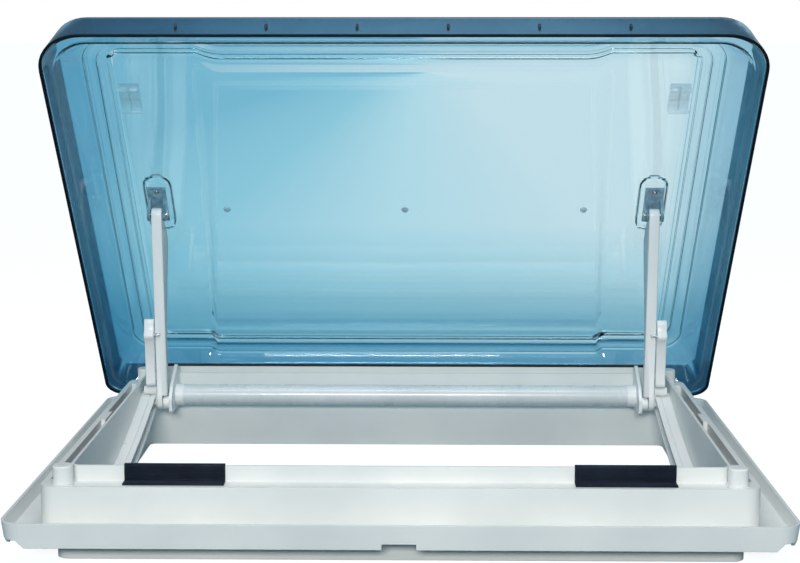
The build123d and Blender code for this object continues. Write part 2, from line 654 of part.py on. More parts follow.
save(inner_pane, "inner_pane")

with BuildPart() as dome_spacers:
    with BuildSketch(LID.offset(DOME_UPRIGHT - 6)):
        for i in range(SPACER_COUNT):
            with Locations(((i - (SPACER_COUNT - 1) / 2) * SPACER_PITCH, -lid_y / 2 + DOME_WALL + 4)):
                Rectangle(3, 8)
    extrude(amount=6)
save(dome_spacers, "dome_spacers")

with BuildPart() as vent_plugs:
    with BuildSketch(LID.offset(PANE_HEIGHT - PANEL_SINK)):
        with GridLocations(PLUG_SPACING, 1, 3, 1):
            Circle(PLUG_RADIUS)
    extrude(amount=-PLUG_STEP)
    with BuildSketch(LID.offset(PANE_HEIGHT - PANEL_SINK - PLUG_STEP)):
        with GridLocations(PLUG_SPACING, 1, 3, 1):
            Circle(PLUG_RADIUS / 2)
    extrude(amount=-PLUG_STEP)
save(vent_plugs, "vent_plugs")

# ---- clips on the pane: a foot and two cheeks ----
clip_x = flat_x / 2 - CLIP_INSET_X
clip_y = CLIP_INSET_Y - flat_y / 2
for name, side in SIDES:
    with BuildPart() as clip:
        with BuildSketch(lid_side(side * clip_x - CLIP_WIDTH / 2)):
            with Locations((clip_y, PANE_HEIGHT - CLIP_REACH / 2)):
                Rectangle(CLIP_LENGTH, CLIP_REACH)
            with Locations((clip_y, PANE_HEIGHT - CLIP_REACH / 2 - LEAF)):
                Rectangle(CLIP_LENGTH - 2 * LEAF, CLIP_REACH, mode=Mode.SUBTRACT)
        extrude(amount=CLIP_WIDTH)
    save(clip, f"clip_{name}")

# ---- pivot brackets in the pockets ----
pocket_floor = PANE_HEIGHT + POCKET_DEPTH
ear_inner = arm_inner - EAR_GAP
ear_outer = arm_outer + EAR_GAP
bracket_screw_y = (PIVOT_Y - 24, PIVOT_Y + 18)
bracket_width = ARM_THICKNESS + 2 * EAR_GAP + 2 * EAR
for name, side in SIDES:
    with BuildPart() as bracket:
        with BuildSketch(lid_side(side * arm_x - bracket_width / 2)):
            with Locations((PIVOT_Y - 3, pocket_floor - BRACKET_BASE / 2)):
                Rectangle(BRACKET_LENGTH, BRACKET_BASE)
        extrude(amount=bracket_width)
        for near, far in ((ear_inner - EAR, ear_inner), (ear_outer, ear_outer + EAR)):
            with BuildSketch(lid_side(side * near)):
                with BuildLine():
                    Polyline(
                        (PIVOT_Y - 16, pocket_floor),
                        (PIVOT_Y + 14, pocket_floor),
                        (PIVOT_Y + ARM_HALF_DEPTH, pivot_height),
                        (PIVOT_Y - ARM_HALF_DEPTH, pivot_height),
                        close=True,
                    )
                make_face()
                with Locations((PIVOT_Y, pivot_height)):
                    Circle(ARM_HALF_DEPTH)
            extrude(amount=side * (far - near))
        with BuildSketch(lid_side(side * (ear_inner - EAR))):
            with Locations((PIVOT_Y, pivot_height)):
                Circle(PIN_RADIUS + RUNNING)
        extrude(amount=side * bracket_width, mode=Mode.SUBTRACT)
        with BuildSketch(LID.offset(pocket_floor)):
            with Locations(*[(side * arm_x, y) for y in bracket_screw_y]):
                Circle(SCREW_RADIUS + RUNNING)
        extrude(amount=-BRACKET_BASE, mode=Mode.SUBTRACT)
    save(bracket, f"bracket_{name}")

with BuildPart() as bracket_screws:
    for _, side in SIDES:
        with BuildSketch(LID.offset(pocket_floor)):
            with Locations(*[(side * arm_x, y) for y in bracket_screw_y]):
                Circle(SCREW_RADIUS)
        extrude(amount=-BRACKET_BASE)
        with BuildSketch(LID.offset(pocket_floor - BRACKET_BASE)):
            with Locations(*[(side * arm_x, y) for y in bracket_screw_y]):
                Circle(SCREW_HEAD)
        extrude(amount=-SCREW_HEAD_HEIGHT)
save(bracket_screws, "bracket_screws")

for name, side in SIDES:
    with BuildPart() as pivot_pin:
        with BuildSketch(lid_side(side * (ear_inner - EAR))):
            with Locations((PIVOT_Y, pivot_height)):
                Circle(PIN_RADIUS)
        extrude(amount=side * bracket_width)
        with BuildSketch(lid_side(side * (ear_inner - EAR))):
            with Locations((PIVOT_Y, pivot_height)):
                Circle(PIN_RADIUS + 2)
        extrude(amount=-side * PIN_HEAD)
    save(pivot_pin, f"pivot_pin_{name}")

# ---- arms: a bar with a gusset behind it and a tongue at the foot ----
body_end = arm_length - ARM_HALF_DEPTH - 2
lever_pivot = LEVER_TOP + LEVER_PIVOT
for name, side in SIDES:
    with BuildPart() as arm:
        with BuildSketch(arm_side(side * arm_inner)):
            Circle(ARM_HALF_DEPTH)
            with Locations((0, -body_end / 2)):
                Rectangle(2 * ARM_HALF_DEPTH, body_end)
        extrude(amount=side * ARM_THICKNESS)
        with BuildSketch(arm_side(side * arm_inner)):
            with BuildLine():
                Polyline(
                    (0, 0),
                    (ARM_HALF_DEPTH, -ARM_HALF_DEPTH / 2),
                    (GUSSET, -GUSSET + 2),
                    (GUSSET, -GUSSET - 6),
                    (ARM_HALF_DEPTH, -GUSSET_END),
                    (0, -GUSSET_END),
                    close=True,
                )
            make_face()
        extrude(amount=side * GUSSET_SHEET)
        with BuildSketch(arm_side(side * (arm_outer - TONGUE))):
            with Locations((0, -arm_length)):
                Circle(ARM_HALF_DEPTH)
            with Locations((0, -(body_end + arm_length) / 2)):
                Rectangle(2 * ARM_HALF_DEPTH, arm_length - body_end)
        extrude(amount=side * TONGUE)
        with BuildSketch(arm_side(side * arm_inner)):
            with Locations((0, 0), (0, -arm_length)):
                Circle(PIN_RADIUS + RUNNING)
        extrude(amount=side * ARM_THICKNESS, mode=Mode.SUBTRACT)
        # pocket for the lever's pin
        with BuildSketch(arm_side(side * arm_outer)):
            with Locations((-LEVER_OFFSET, -lever_pivot)):
                Circle(LEVER_PIN_RADIUS + RUNNING)
        extrude(amount=-side * ARM_THICKNESS / 2, mode=Mode.SUBTRACT)
    save(arm, f"arm_{name}")

# ---- release levers beside the arms, each on its own pin ----
for name, side in SIDES:
    with BuildPart() as lever:
        with BuildSketch(arm_side(side * lever_inner)):
            with Locations((-LEVER_OFFSET, -LEVER_TOP - LEVER_LENGTH / 2)):
                RectangleRounded(LEVER_DEPTH, LEVER_LENGTH, 3)
            with Locations((-LEVER_OFFSET - LEVER_DEPTH / 2, -lever_pivot)):
                Circle(LEVER_DEPTH * 0.6)
        extrude(amount=side * LEVER_THICKNESS)
        with BuildSketch(arm_side(side * lever_inner)):
            with Locations((-LEVER_OFFSET, -lever_pivot)):
                Circle(LEVER_PIN_RADIUS + RUNNING)
        extrude(amount=side * LEVER_THICKNESS, mode=Mode.SUBTRACT)
    save(lever, f"lever_{name}")
    with BuildPart() as lever_pin:
        with BuildSketch(arm_side(side * (arm_outer - ARM_THICKNESS / 2))):
            with Locations((-LEVER_OFFSET, -lever_pivot)):
                Circle(LEVER_PIN_RADIUS)
        extrude(amount=side * (ARM_THICKNESS / 2 + LEVER_GAP + LEVER_THICKNESS))
    save(lever_pin, f"lever_pin_{name}")

# ---- bow: side plates, crossbar, end caps, sliders ----
boss_end = arm_outer - TONGUE - TONGUE_GAP
for name, side in SIDES:
    with BuildPart() as plate:
        with BuildSketch(Plane.YZ.offset(side * plate_inner)):
            with BuildLine():
                Polyline(
                    (FOOT_Y - 6, FOOT_Z - 13),
                    (FOOT_Y - 7.5, FOOT_Z + 6),
                    (FOOT_Y + 4, FOOT_Z + 20),
                    (bar_y + 15, bar_z + 37),
                    (bar_y + 24, bar_z + 30),
                    (bar_y + 24, bar_z + 4),
                    (bar_y + 8, bar_z - 17),
                    close=True,
                )
            make_face()
        extrude(amount=side * PLATE)
        fillet(plate.edges().filter_by(Axis.X), 5)
        with BuildSketch(Plane.YZ.offset(side * plate_outer)):
            with Locations((FOOT_Y, FOOT_Z)):
                Circle(ARM_HALF_DEPTH)
        extrude(amount=side * (boss_end - plate_outer))
        with BuildSketch(Plane.YZ.offset(side * plate_inner)):
            with Locations((FOOT_Y, FOOT_Z)):
                Circle(PIN_RADIUS + RUNNING)
            with Locations((bar_y, bar_z)):
                Circle(SCREW_RADIUS + RUNNING)
        extrude(amount=side * (boss_end - plate_inner), mode=Mode.SUBTRACT)
        with BuildSketch(Plane.YZ.offset(side * plate_outer)):
            with Locations((bar_y, bar_z)):
                Circle(SCREW_HEAD + RUNNING)
        extrude(amount=-side * SCREW_HEAD_HEIGHT, mode=Mode.SUBTRACT)
    save(plate, f"bow_plate_{name}")

with BuildPart() as crossbar:
    with BuildSketch(Plane.YZ.offset(-bar_half)):
        with Locations((bar_y, bar_z)):
            Circle(BAR_DIAMETER / 2)
            Circle(BAR_DIAMETER / 2 - BAR_WALL, mode=Mode.SUBTRACT)
    extrude(amount=2 * bar_half)
save(crossbar, "crossbar")

for name, side in SIDES:
    with BuildPart() as bar_cap:
        with BuildSketch(Plane.YZ.offset(side * bar_half)):
            with Locations((bar_y, bar_z)):
                Circle(BAR_DIAMETER / 2 + 0.8)
        extrude(amount=side * BAR_CAP)
        with BuildSketch(Plane.YZ.offset(side * bar_half)):
            with Locations((bar_y, bar_z)):
                Circle(BAR_DIAMETER / 2 - BAR_WALL - RUNNING)
        extrude(amount=-side * BAR_SPIGOT)
        with BuildSketch(Plane.YZ.offset(side * plate_inner)):
            with Locations((bar_y, bar_z)):
                Circle(SCREW_RADIUS + RUNNING)
        extrude(amount=-side * BAR_CAP, mode=Mode.SUBTRACT)
    save(bar_cap, f"bar_cap_{name}")

with BuildPart() as bow_screws:
    for _, side in SIDES:
        with BuildSketch(Plane.YZ.offset(side * plate_outer)):
            with Locations((bar_y, bar_z)):
                Circle(SCREW_HEAD)
        extrude(amount=-side * SCREW_HEAD_HEIGHT)
        with BuildSketch(Plane.YZ.offset(side * plate_outer)):
            with Locations((bar_y, bar_z)):
                Circle(SCREW_RADIUS)
        extrude(amount=-side * (PLATE + BAR_CAP))
save(bow_screws, "bow_screws")

# each slider: the foot's pin, the shoe in the rail, and a roller that a link holds above the rail
roller_up = groove + RAIL_SHEET + ROLLER_CLEARANCE + ROLLER_RADIUS
shoe_outer = open_x / 2 - RAIL_SHEET - 1.5
for name, side in SIDES:
    with BuildPart() as slider:
        with BuildSketch(Plane.YZ.offset(side * plate_inner)):
            with Locations((FOOT_Y, FOOT_Z)):
                Circle(PIN_RADIUS)
        extrude(amount=side * (shoe_outer - plate_inner))
        with BuildSketch(Plane.YZ.offset(side * (shoe_outer - SHOE_LENGTH))):
            with Locations((FOOT_Y, FOOT_Z)):
                Circle(SHOE_RADIUS)
        extrude(amount=side * SHOE_LENGTH)
        with BuildSketch(Plane.YZ.offset(side * link_inner)):
            with Locations((FOOT_Y, FOOT_Z), (FOOT_Y, FOOT_Z + roller_up)):
                Circle(ROLLER_RADIUS)
            with Locations((FOOT_Y, FOOT_Z + roller_up / 2)):
                Rectangle(2 * ROLLER_RADIUS, roller_up)
        extrude(amount=side * LINK_SHEET)
        with BuildSketch(Plane.YZ.offset(side * link_inner)):
            with Locations((FOOT_Y, FOOT_Z + roller_up)):
                Circle(ROLLER_RADIUS)
        extrude(amount=side * (shoe_outer - link_inner))
    save(slider, f"slider_{name}")
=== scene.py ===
import json
from math import cos, pi, radians, sin, sqrt

import bmesh
import bpy
from mathutils import Matrix, Vector


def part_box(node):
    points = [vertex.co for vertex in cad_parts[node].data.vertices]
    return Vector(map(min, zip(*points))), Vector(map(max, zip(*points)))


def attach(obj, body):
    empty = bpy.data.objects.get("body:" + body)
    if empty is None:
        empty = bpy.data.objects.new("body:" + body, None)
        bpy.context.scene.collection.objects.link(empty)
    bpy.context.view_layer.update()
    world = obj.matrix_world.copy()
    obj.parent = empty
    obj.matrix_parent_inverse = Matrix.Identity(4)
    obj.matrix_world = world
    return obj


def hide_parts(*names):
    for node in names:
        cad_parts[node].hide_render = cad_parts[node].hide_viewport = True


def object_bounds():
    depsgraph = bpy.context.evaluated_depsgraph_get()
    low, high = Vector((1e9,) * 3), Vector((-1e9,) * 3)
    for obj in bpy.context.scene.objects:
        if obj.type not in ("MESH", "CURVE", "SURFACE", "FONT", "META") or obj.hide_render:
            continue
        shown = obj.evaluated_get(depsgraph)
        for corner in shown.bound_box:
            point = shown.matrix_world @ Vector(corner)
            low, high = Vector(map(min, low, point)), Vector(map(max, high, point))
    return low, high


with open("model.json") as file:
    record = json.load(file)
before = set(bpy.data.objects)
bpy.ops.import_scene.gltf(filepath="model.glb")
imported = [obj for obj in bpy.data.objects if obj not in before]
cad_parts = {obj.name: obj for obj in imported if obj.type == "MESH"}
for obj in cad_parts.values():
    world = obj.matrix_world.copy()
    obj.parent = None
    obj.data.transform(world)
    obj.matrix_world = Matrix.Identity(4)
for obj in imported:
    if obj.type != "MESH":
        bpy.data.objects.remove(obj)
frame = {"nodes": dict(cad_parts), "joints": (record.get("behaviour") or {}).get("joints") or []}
cad_low, cad_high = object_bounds()
nodes = frame["nodes"]
joints = {joint["name"]: joint for joint in frame["joints"]}
SIDES = (("left", -1), ("right", 1))

# ---- frame moulding and its corner caps ----
# One white ABS moulding: the tray with its rim and apron, the curb, the inner walls and the collar
# that drops into the roof. The caps are pressed onto its four corners. The skin has a fine grain.


def new_finish(name):
    """A material with its node tree and its Principled shader."""
    material = bpy.data.materials.new(name)
    material.use_nodes = True
    tree = material.node_tree
    return material, tree, tree.nodes["Principled BSDF"]


def grain(tree, scale, detail=3.0, roughness=0.5, stretch=(1, 1, 1)):
    """Noise on the piece's own coordinates, in metres, stretched along its axes."""
    place = tree.nodes.new("ShaderNodeTexCoord")
    turn = tree.nodes.new("ShaderNodeMapping")
    turn.inputs["Scale"].default_value = stretch
    noise = tree.nodes.new("ShaderNodeTexNoise")
    noise.inputs["Scale"].default_value = scale
    noise.inputs["Detail"].default_value = detail
    noise.inputs["Roughness"].default_value = roughness
    tree.links.new(place.outputs["Object"], turn.inputs["Vector"])
    tree.links.new(turn.outputs["Vector"], noise.inputs["Vector"])
    return noise.outputs["Fac"]


def coloured(tree, pattern, stops):
    """Colours spread over a pattern's values; each stop is (value, colour)."""
    ramp = tree.nodes.new("ShaderNodeValToRGB")
    while len(ramp.color_ramp.elements) < len(stops):
        ramp.color_ramp.elements.new(0.5)
    for element, (at, colour) in zip(ramp.color_ramp.elements, stops):
        element.position = at
        element.color = (*colour, 1)
    tree.links.new(pattern, ramp.inputs["Fac"])
    return ramp.outputs["Color"]


def tones(tree, pattern, stops, target):
    """Colours spread over a pattern's values and led to a socket."""
    tree.links.new(coloured(tree, pattern, stops), target)


def rescaled(tree, value, low, high, new_low=0.0, new_high=1.0):
    """A value whose span from low to high is stretched to a new span."""
    span = tree.nodes.new("ShaderNodeMapRange")
    limits = {"From Min": low, "From Max": high, "To Min": new_low, "To Max": new_high}
    for label, limit in limits.items():
        span.inputs[label].default_value = limit
    tree.links.new(value, span.inputs["Value"])
    return span.outputs["Result"]


def spread(tree, pattern, low, high, target):
    """A pattern's middle values spread from low to high and led to a socket."""
    tree.links.new(rescaled(tree, pattern, 0.3, 0.7, low, high), target)


def relief(tree, shader, pattern, strength, depth, soft_edge=0.0):
    """A bump from a pattern, over edges that are softened by a small radius."""
    bump = tree.nodes.new("ShaderNodeBump")
    bump.inputs["Strength"].default_value = strength
    bump.inputs["Distance"].default_value = depth
    tree.links.new(pattern, bump.inputs["Height"])
    if soft_edge:
        edge = tree.nodes.new("ShaderNodeBevel")
        edge.samples = 4
        edge.inputs["Radius"].default_value = soft_edge
        tree.links.new(edge.outputs["Normal"], bump.inputs["Normal"])
    tree.links.new(bump.outputs["Normal"], shader.inputs["Normal"])


def moulded_white(name, dark, light, grain_size=900, gloss=(0.30, 0.44), soft_edge=0.0012):
    """White moulded plastic: faint clouding in the colour, uneven sheen, a fine grained skin."""
    material, tree, shader = new_finish(name)
    shader.inputs["IOR"].default_value = 1.5
    shader.inputs["Subsurface Weight"].default_value = 0.0
    tones(tree, grain(tree, 7, 4), [(0.36, dark), (0.62, light)], shader.inputs["Base Color"])
    spread(tree, grain(tree, 26, 5, 0.6), gloss[0], gloss[1], shader.inputs["Roughness"])
    relief(tree, shader, grain(tree, grain_size, 2), 0.16, 0.00012, soft_edge)
    return material


def dress(material, *names):
    """Gives CAD nodes that keep their shape one finish."""
    for name in names:
        mesh = nodes[name].data
        mesh.materials.clear()
        mesh.materials.append(material)


ends = ("front_left", "front_right", "rear_left", "rear_right")
dress(moulded_white("abs_white", (0.76, 0.79, 0.78), (0.85, 0.87, 0.85)), "base_frame")
dress(
    moulded_white("cap_white", (0.78, 0.81, 0.80), (0.87, 0.89, 0.87)),
    *[f"corner_cap_{end}" for end in ends],
)

# ---- roof seal ----
# A ring of closed-cell foam rubber under the flange, cut from sheet and squeezed between the frame
# and the roof.


def foam(name, dark, light):
    """Foam rubber: small open pores and a dull face."""
    material, tree, shader = new_finish(name)
    tones(tree, grain(tree, 300, 3), [(0.35, dark), (0.6, light)], shader.inputs["Base Color"])
    spread(tree, grain(tree, 120), 0.82, 0.95, shader.inputs["Roughness"])
    relief(tree, shader, grain(tree, 1100, 2), 0.7, 0.0004)
    return material


# the foam's near-black is its own colour and also painted shade in the gap under the apron
dress(foam("foam_black_and_shade", (0.012, 0.014, 0.016), (0.035, 0.038, 0.042)), "roof_seal")

# ---- channel seals and rear seal ----
# Extruded rubber profiles: a strip with a bulb pressed into each side channel, and a bead along the
# rear upstand that the closed lid lies on. Extrusion leaves faint lines along them.


def extruded_rubber(name, dark, light, along):
    """Extruded rubber: lines along its run, bloom in patches, a soft dull sheen."""
    material, tree, shader = new_finish(name)
    stretch = tuple(0.04 if axis == along else 1 for axis in "XYZ")
    tones(tree, grain(tree, 35, 4, 0.6), [(0.35, dark), (0.7, light)], shader.inputs["Base Color"])
    spread(tree, grain(tree, 60), 0.48, 0.66, shader.inputs["Roughness"])
    shader.inputs["Specular IOR Level"].default_value = 0.22
    relief(tree, shader, grain(tree, 1500, 2, 0.5, stretch), 0.35, 0.0002)
    return material


dress(
    extruded_rubber("channel_rubber", (0.018, 0.028, 0.038), (0.05, 0.065, 0.08), "Y"),
    "channel_seal_left",
    "channel_seal_right",
)
dress(extruded_rubber("seal_rubber", (0.008, 0.009, 0.01), (0.025, 0.027, 0.03), "X"), "rear_seal")

# ---- rubber pads on the front wall ----
# Two soft black pads, each folded over the front wall down onto the deck, with fine ribs moulded
# along their length. The ribs are repeated by Geometry Nodes and join the folded body.


def as_piece(name, mesh, finish, body, replaced=(), smooth_angle=35):
    """A finished mesh as an object that rides on a body and stands for CAD nodes."""
    mesh.name = name
    mesh.materials.clear()
    mesh.materials.append(finish)
    for face in mesh.polygons:
        face.use_smooth = True
    mesh.set_sharp_from_angle(angle=radians(smooth_angle))
    made = bpy.data.objects.new(name, mesh)
    bpy.context.scene.collection.objects.link(made)
    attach(made, body)
    if replaced:
        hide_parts(*replaced)
    return made


def settled(mesh, *modifiers):
    """The mesh that is left when the modifiers have been applied; each is (type, settings)."""
    holder = bpy.data.objects.new("holder", mesh)
    bpy.context.scene.collection.objects.link(holder)
    for kind, settings in modifiers:
        modifier = holder.modifiers.new(kind.title(), kind)
        for key, value in settings.items():
            setattr(modifier, key, value)
    bpy.context.view_layer.update()
    graph = bpy.context.evaluated_depsgraph_get()
    result = bpy.data.meshes.new_from_object(holder.evaluated_get(graph))
    bpy.data.objects.remove(holder)
    return result


def side_profile(outline, x0, x1, place=lambda y, z: (y, z)):
    """A closed outline in the side plane, drawn out from x0 to x1."""
    shape = bmesh.new()
    ring = [shape.verts.new((x0, *place(y, z))) for y, z in outline]
    face = shape.faces.new(ring)
    out = bmesh.ops.extrude_face_region(shape, geom=[face])
    moved = [v for v in out["geom"] if isinstance(v, bmesh.types.BMVert)]
    bmesh.ops.translate(shape, verts=moved, vec=(x1 - x0, 0, 0))
    bmesh.ops.recalc_face_normals(shape, faces=shape.faces)
    mesh = bpy.data.meshes.new("profile")
    shape.to_mesh(mesh)
    shape.free()
    return mesh


def joined(*meshes):
    """Several meshes as one."""
    shape = bmesh.new()
    for mesh in meshes:
        shape.from_mesh(mesh)
    made = bpy.data.meshes.new("joined")
    shape.to_mesh(made)
    shape.free()
    return made


def node_group(name, sizes):
    """An empty Geometry Nodes tree with named inputs and a finish, and its two ends."""
    tree = bpy.data.node_groups.new(name, "GeometryNodeTree")
    tree.interface.new_socket("Geometry", in_out="INPUT", socket_type="NodeSocketGeometry")
    for label, kind in {**sizes, "Finish": "Material"}.items():
        tree.interface.new_socket(label, in_out="INPUT", socket_type=f"NodeSocket{kind}")
    tree.interface.new_socket("Geometry", in_out="OUTPUT", socket_type="NodeSocketGeometry")
    return tree, tree.nodes.new("NodeGroupInput"), tree.nodes.new("NodeGroupOutput")


def grown(tree, start, values, finish):
    """The plain mesh that a Geometry Nodes tree makes from a starting mesh."""
    holder = bpy.data.objects.new("grower", start)
    bpy.context.scene.collection.objects.link(holder)
    modifier = holder.modifiers.new("Grow", "NODES")
    modifier.node_group = tree
    sockets = {s.name: s.identifier for s in tree.interface.items_tree if s.in_out == "INPUT"}
    for label, value in values.items():
        modifier[sockets[label]] = value
    modifier[sockets["Finish"]] = finish
    bpy.context.view_layer.update()
    graph = bpy.context.evaluated_depsgraph_get()
    result = bpy.data.meshes.new_from_object(holder.evaluated_get(graph))
    holder.modifiers.remove(modifier)
    bpy.data.objects.remove(holder)
    return result


def linked(tree, source, target, *names):
    """Joins one node's output to another's input by their names."""
    tree.links.new(source.outputs[names[0]], target.inputs[names[1]])


def copied_on_points(tree, start, end, shape, turn=None):
    """Ends a tree: the shape is copied onto the points that come in, turned, and given the finish."""
    copies = tree.nodes.new("GeometryNodeInstanceOnPoints")
    real = tree.nodes.new("GeometryNodeRealizeInstances")
    finish = tree.nodes.new("GeometryNodeSetMaterial")
    linked(tree, start, copies, "Geometry", "Points")
    tree.links.new(shape, copies.inputs["Instance"])
    if turn is not None:
        tree.links.new(turn, copies.inputs["Rotation"])
    linked(tree, copies, real, "Instances", "Geometry")
    linked(tree, real, finish, "Geometry", "Geometry")
    linked(tree, start, finish, "Finish", "Material")
    linked(tree, finish, end, "Geometry", "Geometry")


def points_mesh(points):
    """Loose vertices, which a tree puts its copies on."""
    mesh = bpy.data.meshes.new("points")
    mesh.from_pydata([tuple(p) for p in points], [], [])
    return mesh


# a row of thin ribs: one rib, copied along a line
rib_tree, rib_in, rib_out = node_group("pad_ribs", {"Rib length": "Float", "Rib radius": "Float"})
rib_line = rib_tree.nodes.new("GeometryNodeMeshCylinder")
rib_line.inputs["Vertices"].default_value = 8
rib_turn = rib_tree.nodes.new("GeometryNodeTransform")
rib_turn.inputs["Rotation"].default_value = (0, pi / 2, 0)
linked(rib_tree, rib_in, rib_line, "Rib length", "Depth")
linked(rib_tree, rib_in, rib_line, "Rib radius", "Radius")
linked(rib_tree, rib_line, rib_turn, "Mesh", "Geometry")
copied_on_points(rib_tree, rib_in, rib_out, rib_turn.outputs["Geometry"])

pad_finish = extruded_rubber("pad_rubber", (0.0008, 0.005, 0.014), (0.003, 0.012, 0.028), "X")
PAD_SHEET = 0.002
PAD_BULGE = 0.0006
PAD_WALL = 0.003  # how far the pad's rear edge lies behind the front wall's outer face
RIB_STEP, RIB_RADIUS = 0.0019, 0.0005
for name, _ in SIDES:
    low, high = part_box(f"pad_{name}")
    fold = high.y - PAD_WALL
    outline = [
        (high.y, high.z - PAD_SHEET),
        (high.y, high.z - 0.0004),
        (high.y - 0.0008, high.z),
        (fold - 0.0012, high.z),
        (fold - PAD_SHEET, high.z - 0.001),
        (fold - PAD_SHEET - PAD_BULGE, (low.z + high.z) / 2),
        (fold - PAD_SHEET, low.z + PAD_SHEET + 0.001),
        (fold - PAD_SHEET - 0.001, low.z + PAD_SHEET),
        (low.y + 0.0006, low.z + PAD_SHEET),
        (low.y, low.z + PAD_SHEET - 0.0006),
        (low.y, low.z),
        (fold, low.z),
        (fold, high.z - PAD_SHEET),
    ]
    folded = settled(
        side_profile(outline, low.x, high.x),
        ("BEVEL", {"width": 0.0004, "segments": 2, "limit_method": "ANGLE"}),
    )
    middle = (low.x + high.x) / 2
    wall_y, wall_z = fold - PAD_SHEET - 0.0004, low.z + PAD_SHEET + 0.0022
    deck_y, deck_z = low.y + 0.0016, low.z + PAD_SHEET - 0.0001
    rib_places = [(middle, wall_y, wall_z + RIB_STEP * i) for i in range(7)]
    rib_places += [(middle, deck_y + RIB_STEP * i, deck_z) for i in range(6)]
    ribs = grown(
        rib_tree,
        points_mesh(rib_places),
        {"Rib length": high.x - low.x - 0.004, "Rib radius": RIB_RADIUS},
        pad_finish,
    )
    pad_mesh = joined(folded, ribs)
    as_piece(f"ribbed_pad_{name}", pad_mesh, pad_finish, "base", [f"pad_{name}"])

# ---- side rails and their screws ----
# White plastic channels that the stay's feet run in, each screwed to the opening's side wall.
# The steel screws have domed heads with a cross recess.


def worn_steel(name, dark, light, stretch=(1, 1, 1)):
    """Steel or aluminium: fine drawn lines, cloudy reflections, small dull spots."""
    material, tree, shader = new_finish(name)
    shader.inputs["Metallic"].default_value = 1.0
    tones(tree, grain(tree, 90, 4, 0.6), [(0.3, dark), (0.65, light)], shader.inputs["Base Color"])
    spread(tree, grain(tree, 400, 3, 0.5, stretch), 0.22, 0.42, shader.inputs["Roughness"])
    relief(tree, shader, grain(tree, 900, 2, 0.5, stretch), 0.25, 0.0001)
    return material


dress(
    moulded_white("rail_white", (0.84, 0.86, 0.85), (0.91, 0.92, 0.91), 700, (0.26, 0.36), 0.0006),
    "rail_left",
    "rail_right",
)
screw_steel = worn_steel("screw_steel", (0.42, 0.43, 0.44), (0.62, 0.63, 0.64))

# a screw head: a domed disc with a cross cut into it, turned to each screw's own direction
screw_tree, screw_in, screw_out = node_group("screw_heads", {"Head radius": "Float", "Head height": "Float"})


def calculated(tree, operation, *operands):
    """The result of a sum; each operand is a number or another node's output."""
    step = tree.nodes.new("ShaderNodeMath")
    step.operation = operation
    for socket, operand in zip(step.inputs, operands):
        if isinstance(operand, float):
            socket.default_value = operand
        else:
            tree.links.new(operand, socket)
    return step.outputs[0]


HEAD_SHOULDER = 0.72  # the head's flat top, as a share of its radius
CROSS_LENGTH, CROSS_WIDTH, CROSS_TURN = 1.2, 0.26, 0.35
head_radius = screw_in.outputs["Head radius"]
head_disc = screw_tree.nodes.new("GeometryNodeMeshCone")
head_disc.inputs["Vertices"].default_value = 20
head_disc.inputs["Side Segments"].default_value = 2
head_cut = screw_tree.nodes.new("GeometryNodeMeshBoolean")
head_cut.operation = "DIFFERENCE"
head_cut.solver = "EXACT"
cross_at = screw_tree.nodes.new("ShaderNodeCombineXYZ")
screw_facing = screw_tree.nodes.new("GeometryNodeInputNamedAttribute")
screw_facing.data_type = "FLOAT_VECTOR"
screw_facing.inputs["Name"].default_value = "facing"
screw_align = screw_tree.nodes.new("FunctionNodeAlignRotationToVector")
screw_align.axis = "Z"
linked(screw_tree, screw_in, head_disc, "Head radius", "Radius Bottom")
shoulder = calculated(screw_tree, "MULTIPLY", head_radius, HEAD_SHOULDER)
screw_tree.links.new(shoulder, head_disc.inputs["Radius Top"])
linked(screw_tree, screw_in, head_disc, "Head height", "Depth")
linked(screw_tree, head_disc, head_cut, "Mesh", "Mesh 1")
linked(screw_tree, screw_in, cross_at, "Head height", "Z")
for turn in (CROSS_TURN, CROSS_TURN + pi / 2):
    slot_size = screw_tree.nodes.new("ShaderNodeCombineXYZ")
    for axis, share in (("X", CROSS_LENGTH), ("Y", CROSS_WIDTH)):
        part = calculated(screw_tree, "MULTIPLY", head_radius, share)
        screw_tree.links.new(part, slot_size.inputs[axis])
    slot_block = screw_tree.nodes.new("GeometryNodeMeshCube")
    slot_place = screw_tree.nodes.new("GeometryNodeTransform")
    slot_place.inputs["Rotation"].default_value = (0, 0, turn)
    linked(screw_tree, screw_in, slot_size, "Head height", "Z")
    linked(screw_tree, slot_size, slot_block, "Vector", "Size")
    linked(screw_tree, slot_block, slot_place, "Mesh", "Geometry")
    linked(screw_tree, cross_at, slot_place, "Vector", "Translation")
    linked(screw_tree, slot_place, head_cut, "Geometry", "Mesh 2")
linked(screw_tree, screw_facing, screw_align, "Attribute", "Vector")
copied_on_points(
    screw_tree, screw_in, screw_out, head_cut.outputs["Mesh"], screw_align.outputs["Rotation"]
)


SAME_POINT = 1e-6


def islands(node):
    """The loose parts of a CAD node, each as its lowest and highest corner."""
    shape = bmesh.new()
    shape.from_mesh(nodes[node].data)
    bmesh.ops.remove_doubles(shape, verts=shape.verts, dist=SAME_POINT)
    left, found = set(shape.verts), []
    while left:
        group, edge = set(), [left.pop()]
        while edge:
            vert = edge.pop()
            group.add(vert)
            for line in vert.link_edges:
                other = line.other_vert(vert)
                if other in left:
                    left.remove(other)
                    edge.append(other)
        low = Vector([min(v.co[k] for v in group) for k in range(3)])
        high = Vector([max(v.co[k] for v in group) for k in range(3)])
        found.append((low, high))
    shape.free()
    return sorted(found, key=lambda pair: tuple(pair[0]))


